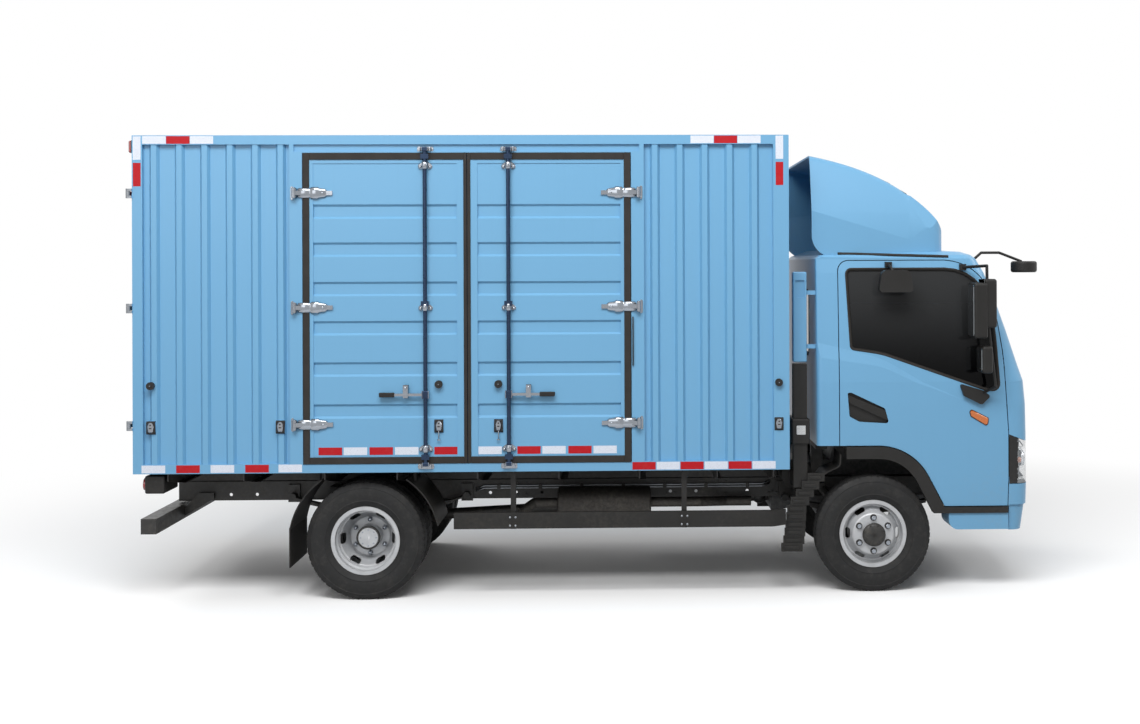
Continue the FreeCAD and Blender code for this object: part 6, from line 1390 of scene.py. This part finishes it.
def catch_fittings():
    """Buckles of the catches and screws in the rubber stops, on the wall and on the doors."""
    slots = ["chrome", "rubber", "zinc"]
    build = Builder()
    for x in WALL_CATCH_X:
        buckle(build, REAR_AXLE_X + x, False)
    for x in WALL_STOP_X:
        stop_screw(build, REAR_AXLE_X + x)
    recalculated(build.build("wall_catch_fittings", slots, "chassis"))
    for door, x in DOOR_CATCH_X.items():
        build = Builder()
        buckle(build, REAR_AXLE_X + x, True)
        stop_screw(build, REAR_AXLE_X + x)
        recalculated(build.build(door + "_catch_fittings", slots, door))


def hook_rod():
    """Thin hook rod hanging at the front jamb of the side doors."""
    x, out, back = REAR_AXLE_X + 1.759, -BOX_SIDE_Y - 0.012, -BOX_SIDE_Y + 0.004
    run = ((back, 1.849), (out + 0.002, 1.848), (out, 1.840), (out, 1.545), (out + 0.002, 1.537),
           (back, 1.536))
    build = Builder()
    build.tube([(x, y, z) for y, z in run], 0.0048, 8)
    build.build("hook_rod", ["black_steel"], "chassis")


# Rear doors and posts

REAR_SEAL = (0.0015, 1.032, 0.917, 2.950)
REAR_TAPES = (0.090, 0.300, 0.460, 0.620, 0.780)
REAR_TAPE_LOW_Z = 0.978
MARKER_LOW_Z, MARKER_HIGH_Z = 2.925, 3.012
MARKER_HALF = 0.024
POST_MIDDLE_Y = 1.067
POST_TAPE_TOP_Z = 2.905


def rear_seal(build):
    """Seal drawn as on the right side, then turned to the rear face."""
    seal_frame(build, *REAR_SEAL, -BOX_REAR_X, FREE_SEAL_WIDTH, SEAL_WIDTH)
    for v in build.verts:
        v.x, v.y = v.y, -v.x


def rear_tapes(build):
    face, low = BOX_REAR_X + 0.005, REAR_TAPE_LOW_Z
    for k, start in enumerate(REAR_TAPES):
        build.box((face - TAPE_LIFT, -start - TAPE_LENGTH, low), (face, -start, low + TAPE_WIDTH), k % 2)


def rear_dressing():
    """Seals and tape of the rear doors, and tape with a red marker lamp on each post."""
    on_pair("rear_door_{}_seal", ["seal"], "rear_door_{}", rear_seal)
    on_pair("rear_door_{}_tapes", TAPE_SLOTS, "rear_door_{}", rear_tapes)
    build = Builder()
    y, half = -POST_MIDDLE_Y, TAPE_WIDTH / 2
    for colour in (WHITE, RED):
        top = POST_TAPE_TOP_Z - TAPE_LENGTH * colour
        build.box((BOX_REAR_X - TAPE_LIFT, y - half, top - TAPE_LENGTH), (BOX_REAR_X, y + half, top), colour)
    outline = rounded_rect(y - MARKER_HALF, y + MARKER_HALF, MARKER_LOW_Z, MARKER_HIGH_Z, 0.012)
    for rim, face, depth, edge, slot in ((0.0, BOX_REAR_X, 0.010, 0.003, 2),
                                         (0.003, BOX_REAR_X - 0.008, 0.018, 0.007, 3)):
        flat_plate(build, shrunk(outline, rim), lambda across, up, out: (face - out, across, up),
                   depth, edge, slot)
    build.mirrored_y()
    recalculated(build.build("rear_post_dressing", [*TAPE_SLOTS, "black_plastic", "lens_red"], "chassis"))


# Chassis hardware

RAIL_Y = 0.375
RAIL_BOLT_X = (-0.60, -0.28, 0.28, 0.60, 0.98, 1.30, 1.66, 2.02, 2.38, 2.74)
RAIL_BOLTS = ((-0.03, 0.585), (0.03, 0.585), (-0.03, 0.665), (0.03, 0.665))
PIPE_HEIGHTS = (0.634, 0.650)
PIPE_CLIPS, PIPE_CLIP_START, PIPE_CLIP_PITCH = 7, 0.82, 0.29
GUARD_Y = 1.062
GUARD_HANGERS = (0.970, 2.092)


def rail_hardware():
    """Bolt groups on both rails, and brake pipes in clips along the right one."""
    build = Builder()
    for station in RAIL_BOLT_X:
        for along, z in RAIL_BOLTS:
            build.hexagon((REAR_AXLE_X + station + along, -RAIL_Y, z), RIGHT, 0.009, 0.009)
    build.mirrored_y()
    for z in PIPE_HEIGHTS:
        run = ((0.66, z - 0.02), (0.72, z), (2.66, z), (2.72, z + 0.02))
        build.tube([(REAR_AXLE_X + along, -RAIL_Y - 0.013, up) for along, up in run], 0.0055, 8, 1)
    for k in range(PIPE_CLIPS):
        x = REAR_AXLE_X + PIPE_CLIP_START + PIPE_CLIP_PITCH * k
        build.box((x - 0.012, -RAIL_Y - 0.022, 0.624), (x + 0.012, -RAIL_Y, 0.660), 0, 0.003)
    build.build("rail_hardware", ["black_steel", "zinc"], "chassis")


def guard_rivets():
    """Four rivets where each hanger carries the side guard."""
    build = Builder()
    for hanger in GUARD_HANGERS:
        for along in (-0.018, 0.018):
            for z in (0.492, 0.546):
                spot = (REAR_AXLE_X + hanger + along, -GUARD_Y - 0.0282, z)
                build.disc(spot, RIGHT, 0.007, 0.004, 14, dome=0.003)
    build.mirrored_y()
    build.build("guard_rivets", ["zinc"], "chassis")


LABEL_X = (REAR_AXLE_X + 2.847, REAR_AXLE_X + 2.907)
LABEL_Z = (1.055, 1.115)


def intake_label():
    """Blank white label on the intake box."""
    build = Builder()
    outline = rounded_rect(*LABEL_X, *LABEL_Z, 0.004, 3)
    skin_plate(build, Skin(FROM_RIGHT, "air_cleaner"), outline, 0.0012, 0.0004, sink=0.0005)
    build.build("intake_label", ["lens_white"], "chassis")


GUARD_FLANGE_Y = 0.930
# (behind the front axle, up) of each rib
GUARD_RIBS = ((0.330, 0.770), (0.367, 0.718), (0.402, 0.666), (0.434, 0.614), (0.453, 0.562), (0.456, 0.510),
              (0.459, 0.458), (0.462, 0.406), (0.467, 0.354), (0.478, 0.306))


def guard_flanges():
    """Stepped side flange behind each front wheel, on the outer edge of the guard."""
    build = Builder()
    y = -GUARD_FLANGE_Y
    for k, (back, z) in enumerate(GUARD_RIBS):
        x = FRONT_AXLE_X - back
        rear = x - 0.112 - 0.003 * k
        step = 0.006 * (k % 2)
        build.box((rear, y - 0.010 - step, z - 0.029), (x + 0.004, y + 0.012, z + 0.027), 0, 0.003)
        build.box((rear + 0.014, y - 0.018 - step, z - 0.012), (x - 0.020, y, z + 0.010), 0, 0.004)
    build.mirrored_y()
    build.build("guard_flanges", ["black_plastic"], "chassis")


# Wind deflector

STRIP_X = (REAR_AXLE_X + 3.138, REAR_AXLE_X + 3.880)
STRIP_Z, STRIP_FALL, STRIP_STEPS = 2.259, 0.022, 20
FAIRING_CREASE = (math.radians(10), math.radians(34))
FAIRING_RIM = (math.radians(45), math.radians(100))
FAIRING_ROUNDS = ((FAIRING_CREASE, 0.095), (FAIRING_RIM, 0.040))
FAIRING_LOW_Z = 2.42
FAIRING_NOSE_X = REAR_AXLE_X + 3.640
FAIRING_STRAY = 0.016


def roof_strip():
    """Black rubber strip along each foot of the wind deflector."""
    skin = Skin(FROM_RIGHT, "wind_deflector", "cab_shell")
    start, end = STRIP_X
    points = []
    for share in (k / STRIP_STEPS for k in range(STRIP_STEPS + 1)):
        hit, normal = skin.meet(start + (end - start) * share, STRIP_Z - STRIP_FALL * share)
        points.append(hit + normal * 0.001)
    build = Builder()
    build.tube(points, 0.011, 8)
    build.mirrored_y()
    build.build("roof_strip", ["rubber"], "cab")


def fairing_edge(edge, low, high):
    """Whether an edge bends between two angles and runs along the upper part of the fairing."""
    if len(edge.link_faces) != 2 or not low < edge.calc_face_angle() < high:
        return False
    along = (edge.verts[1].co - edge.verts[0].co).normalized()
    middle = (edge.verts[0].co + edge.verts[1].co) / 2
    leaning = abs(along.y) < 0.5 and abs(along.z) < 0.95
    return leaning and middle.z > FAIRING_LOW_Z and middle.x < FAIRING_NOSE_X


def rounded_fairing():
    """The wind deflector with its crease and its rim pressed round, as sheet moulding leaves them."""
    bm = bmesh.new()
    bm.from_mesh(NODES["wind_deflector"].data)
    bmesh.ops.remove_doubles(bm, verts=bm.verts[:], dist=0.00002)
    bmesh.ops.dissolve_limit(bm, angle_limit=math.radians(0.5), verts=bm.verts[:], edges=bm.edges[:])
    solid = BVHTree.FromBMesh(bm)
    bmesh.ops.bisect_plane(bm, geom=bm.verts[:] + bm.edges[:] + bm.faces[:], plane_co=(FAIRING_NOSE_X, 0, 0),
                           plane_no=(1, 0, 0))
    for limits, width in FAIRING_ROUNDS:
        chain = [e for e in bm.edges if fairing_edge(e, *limits)]
        bmesh.ops.bevel(bm, geom=chain, offset=width, segments=7, profile=0.5, affect="EDGES")
    for v in bm.verts:
        near, _, _, gap = solid.find_nearest(v.co)
        if gap > FAIRING_STRAY:
            v.co = near
    mesh = bpy.data.meshes.new("rounded_fairing")
    bm.to_mesh(mesh)
    bm.free()
    obj = linked("rounded_fairing", mesh)
    mesh.materials.append(MATS["body_paint"])
    finish_normals(obj, 28)
    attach(obj, "cab")
    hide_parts("wind_deflector")


# Seats

SEAT_PARTS = {
    "seat_left": (0.380, 0.880), "seat_right": (-0.880, -0.350), "seat_middle": (-0.340, 0.330),
}
CAB_REAR_X = 1.4905
# Rear and front, measured from the rear of the cab, then low and high
CUSHION = (0.130, 0.600, 1.160, 1.290)
BACK = (0.078, 0.188, 1.285, 1.800)
REST = (0.068, 0.132, 1.800, 1.955)
BACK_LEAN = -0.096
BACK_INSET = 0.020
REST_HALF = 0.130
PAD_INSET = 0.007
SIDE_SEAM = 0.11
CUSHION_SEAM_X = 0.46
BACK_SEAMS_Z = (1.46, 1.63)
SEAM_DEPTH, SEAM_WIDTH = 0.009, 0.014
CAB_FLOOR_Z, TUNNEL_Z = 1.021, 1.132
VOXEL = 0.011
SWELL_LIMIT = 0.014
FRAMES = 20


def rounded_block(name, low, high, edge):
    """Closed block with soft edges, remeshed to even cells."""
    bm = cube_between(low, high)
    bmesh.ops.bevel(bm, geom=bm.edges[:], offset=edge, segments=3, affect="EDGES", profile=0.5)
    mesh = bpy.data.meshes.new(name)
    bm.to_mesh(mesh)
    bm.free()
    obj = linked(name, mesh)
    remesh = obj.modifiers.new("cells", "REMESH")
    remesh.mode = "VOXEL"
    remesh.voxel_size = VOXEL
    apply_modifiers(obj)
    return obj


def apply_modifiers(obj):
    graph = bpy.context.evaluated_depsgraph_get()
    mesh = bpy.data.meshes.new_from_object(obj.evaluated_get(graph))
    old = obj.data
    obj.modifiers.clear()
    obj.data = mesh
    bpy.data.meshes.remove(old)


def plumped(obj):
    """Lets the cover swell under a little pressure, no point further than the limit."""
    rest = [v.co.copy() for v in obj.data.vertices]
    cloth = obj.modifiers.new("cover", "CLOTH")
    cloth.settings.use_pressure = True
    cloth.settings.uniform_pressure_force = 4.0
    cloth.settings.effector_weights.gravity = 0.0
    scene = bpy.context.scene
    for frame_number in range(1, FRAMES + 1):
        scene.frame_set(frame_number)
    apply_modifiers(obj)
    scene.frame_set(1)
    for v, start in zip(obj.data.vertices, rest):
        move = v.co - start
        if move.length > SWELL_LIMIT:
            v.co = start + move * (SWELL_LIMIT / move.length)


def pressed_seams(obj, lines):
    """Sews channels into a pad along lines of (axis, place)."""
    mesh = obj.data
    mesh.update()
    normals = [n.vector.copy() for n in mesh.vertex_normals]
    for v, normal in zip(mesh.vertices, normals):
        share = 0.0
        for axis, place in lines:
            gap = abs(v.co[axis] - place) / SEAM_WIDTH
            if gap < 1:
                share = max(share, (1 - gap * gap) ** 2)
        v.co -= normal * SEAM_DEPTH * share


def seat_pad(name, sides, profile, edge, seams, lean=0.0):
    """Upholstered pad between two sides, with its profile given from the rear of the cab."""
    rear, front, bottom, top = profile
    low = [v + PAD_INSET for v in (CAB_REAR_X + rear, sides[0], bottom)]
    high = [v - PAD_INSET for v in (CAB_REAR_X + front, sides[1], top)]
    obj = rounded_block(name, low, high, edge)
    plumped(obj)
    pressed_seams(obj, seams)
    for v in obj.data.vertices:
        v.co.x += (v.co.z - bottom) * lean
    smooth = obj.modifiers.new("smooth", "SUBSURF")
    smooth.levels = smooth.render_levels = 1
    apply_modifiers(obj)
    for p in obj.data.polygons:
        p.use_smooth = True
    obj.data.materials.clear()
    obj.data.materials.append(MATS["seat_cloth"])
    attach(obj, "cab")
    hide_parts("seats")


def make_seats():
    """Cushion, back and head rest of each seat, on a pedestal with the posts of the rest."""
    x = CAB_REAR_X
    stands = Builder()
    for name, (y0, y1) in SEAT_PARTS.items():
        middle = (y0 + y1) / 2
        side_seams = [(1, y0 + SIDE_SEAM), (1, y1 - SIDE_SEAM)]
        seat_pad(name + "_cushion", (y0, y1), CUSHION, 0.030, side_seams + [(0, x + CUSHION_SEAM_X)])
        seat_pad(name + "_back", (y0 + BACK_INSET, y1 - BACK_INSET), BACK, 0.030,
                 side_seams + [(2, z) for z in BACK_SEAMS_Z], BACK_LEAN)
        seat_pad(name + "_rest", (middle - REST_HALF, middle + REST_HALF), REST, 0.024, [])
        floor = TUNNEL_Z if y0 < 0 < y1 else CAB_FLOOR_Z
        stands.box((x + 0.160, y0 + 0.060, floor), (x + 0.560, y1 - 0.060, CUSHION[2] + 0.010), 0, 0.010)
        stands.box((x + 0.085, y0 + 0.050, 1.170), (x + 0.150, y1 - 0.050, 1.300), 0, 0.010)
        for post in (middle - 0.06, middle + 0.06):
            stands.tube([(x + 0.085, post, 1.76), (x + 0.098, post, 1.83)], 0.006, 8, 1)
    obj = stands.build("seat_stands", ["black_plastic", "zinc"], "cab")
    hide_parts("seats")


# Inside of the cab

BACKWARD = (-1, 0, 0)
DASH_FACE_X = 2.487
HOOD_Y = (0.262, 0.598)
DIAL_Y, DIAL_Z = (0.355, 0.505), 1.448
DIAL = [(0.0, 0.0), (0.058, 0.0), (0.058, 0.004), (0.052, 0.004), (0.050, 0.0015), (0.0, 0.0015)]
VENT_Y, VENT_Z, VENT_PITCH, VENT_BARS = (-0.800, -0.250, 0.190, 0.790), 1.345, 0.011, 5
KNOB_Y, KNOB_Z = (-0.075, 0.0, 0.075), 1.225
PEDAL_Y = (0.30, 0.42, 0.53)
GEAR_LEVER = ((2.30, 0.05, 1.125), (2.27, 0.06, 1.22), (2.25, 0.07, 1.30))
GEAR_KNOB, GEAR_KNOB_AXIS = (2.248, 0.071, 1.295), (-0.2, 0.05, 1)


def dashboard_details():
    """Instrument hood with two dials, a blank screen, vents, knobs, glove box, gear lever and pedals."""
    build = Builder()
    face, back = DASH_FACE_X, DASH_FACE_X + 0.030
    build.box((2.505, HOOD_Y[0], 1.408), (2.700, HOOD_Y[1], 1.492), 0, 0.022)
    for y in DIAL_Y:
        build.spun(DIAL, (2.5045, y, DIAL_Z), BACKWARD, 32, 2)
        build.tube([(2.5015, y, DIAL_Z), (2.5015, y + 0.025, DIAL_Z + 0.022)], 0.0016, 6, 3)
        build.disc((2.502, y, DIAL_Z), BACKWARD, 0.006, 0.003, 12)
    build.box((face - 0.012, -0.120, 1.270), (back, 0.120, 1.390), 2, 0.008)
    for y in VENT_Y:
        for k in range(VENT_BARS):
            z = VENT_Z + VENT_PITCH * k
            build.box((face - 0.006, y - 0.062, z), (back, y + 0.062, z + 0.004), 0, 0.001)
    for y in KNOB_Y:
        build.disc((face + 0.006, y, KNOB_Z), BACKWARD, 0.022, 0.016, 24)
    build.box((face - 0.002, -0.720, 1.210), (back, -0.330, 1.322), 0, 0.006)
    build.tube(GEAR_LEVER, 0.009, 10, 1)
    build.disc(GEAR_KNOB, GEAR_KNOB_AXIS, 0.026, 0.030, 20, dome=0.014)
    for y in PEDAL_Y:
        build.tube([(2.60, y, 1.22), (2.53, y, 1.10)], 0.008, 8, 1)
        build.box((2.505, y - 0.032, 1.062), (2.525, y + 0.032, 1.122), 0, 0.005)
    build.build("dashboard_details", ["black_plastic", "black_steel", "dark_glass", "lens_white"], "cab")


ARM_REST = ((2.02, -0.905, 1.225), (2.40, -0.858, 1.262))
DOOR_PULL = ((2.44, -0.905, 1.36), (2.44, -0.872, 1.34), (2.44, -0.872, 1.25), (2.44, -0.905, 1.23))


def door_trim():
    """Arm rest and pull on the inside of each cab door."""
    def draw(build):
        build.box(*ARM_REST, 0, 0.012)
        build.tube(DOOR_PULL, 0.009, 8)
    on_pair("cab_door_trim_{}", ["black_plastic"], "cab_door_{}", draw)


# Floor, light and camera

FLOOR_CORNERS = [(-60, -40, 0), (60, -40, 0), (60, 60, 0), (-60, 60, 0)]
# Name, place, target, size in metres and watts
LAMPS = (("key", (-0.5, -7.5, 9.0), (0.0, 0, 1.4), (8.0, 3.5), 960),
         ("fill", (-5.0, -10.0, 4.5), (-0.5, 0, 1.4), (6.0, 4.0), 140),
         ("front", (9.0, -1.0, 6.0), (2.0, 0, 1.4), (4.0, 4.0), 190),
         ("rear", (-8.0, 6.5, 7.5), (0, 0, 1.5), (8.0, 4.0), 330))
CAMERA_PLACE = (0.2321, -10.8672, 2.1961)
CAMERA_YAW = 0.0292
CAMERA_ROLL = 0.0036
CAMERA_LENS = 47.19
CAMERA_SHIFT = (-0.0886, -0.0861)
SENSOR_WIDTH = 36.0


def make_floor():
    floor = mesh_object("floor", FLOOR_CORNERS, [(0, 1, 2, 3)], [studio_floor()])


def make_world():
    """Even grey light on the truck, and white behind it."""
    world = bpy.data.worlds.new("studio")
    world.use_nodes = True
    nodes, links = world.node_tree.nodes, world.node_tree.links
    light = nodes["Background"]
    white = nodes.new("ShaderNodeBackground")
    for background in (light, white):
        background.inputs["Color"].default_value = (1.0, 1.0, 1.0, 1.0)
    light.inputs["Strength"].default_value = SKY_STRENGTH
    blend = nodes.new("ShaderNodeMixShader")
    links.new(seen_rays(nodes, links), blend.inputs["Fac"])
    links.new(light.outputs["Background"], blend.inputs[1])
    links.new(white.outputs["Background"], blend.inputs[2])
    links.new(blend.outputs["Shader"], nodes["World Output"].inputs["Surface"])
    bpy.context.scene.world = world


def make_lights():
    for name, place, target, size, watts in LAMPS:
        data = bpy.data.lights.new(name, "AREA")
        data.shape = "RECTANGLE"
        data.size, data.size_y = size
        data.energy = watts
        lamp = linked(name, data)
        lamp.location = place
        lamp.rotation_euler = (Vector(target) - Vector(place)).to_track_quat("-Z", "Y").to_euler()


def make_camera():
    data = bpy.data.cameras.new("camera")
    data.sensor_fit = "HORIZONTAL"
    data.sensor_width = SENSOR_WIDTH
    data.lens = CAMERA_LENS
    data.shift_x, data.shift_y = CAMERA_SHIFT
    camera = linked("camera", data)
    camera.location = CAMERA_PLACE
    camera.rotation_euler = (math.pi / 2, CAMERA_ROLL, -CAMERA_YAW)
    bpy.context.scene.camera = camera


dress_nodes()
box_tapes()
door_tapes()
side_seals()
tyres()
wheel_hardware()
glass_seals()
side_indicators()
headlamp_insides()
fog_lamps()
mirror_faces()
wipers()
front_meshes()
hinge_fittings()
lock_fittings()
catch_fittings()
hook_rod()
rear_dressing()
rail_hardware()
guard_rivets()
intake_label()
guard_flanges()
roof_strip()
rounded_fairing()
make_seats()
dashboard_details()
door_trim()
make_floor()
make_world()
make_lights()
make_camera()
bpy.context.scene.view_settings.view_transform = "Standard"
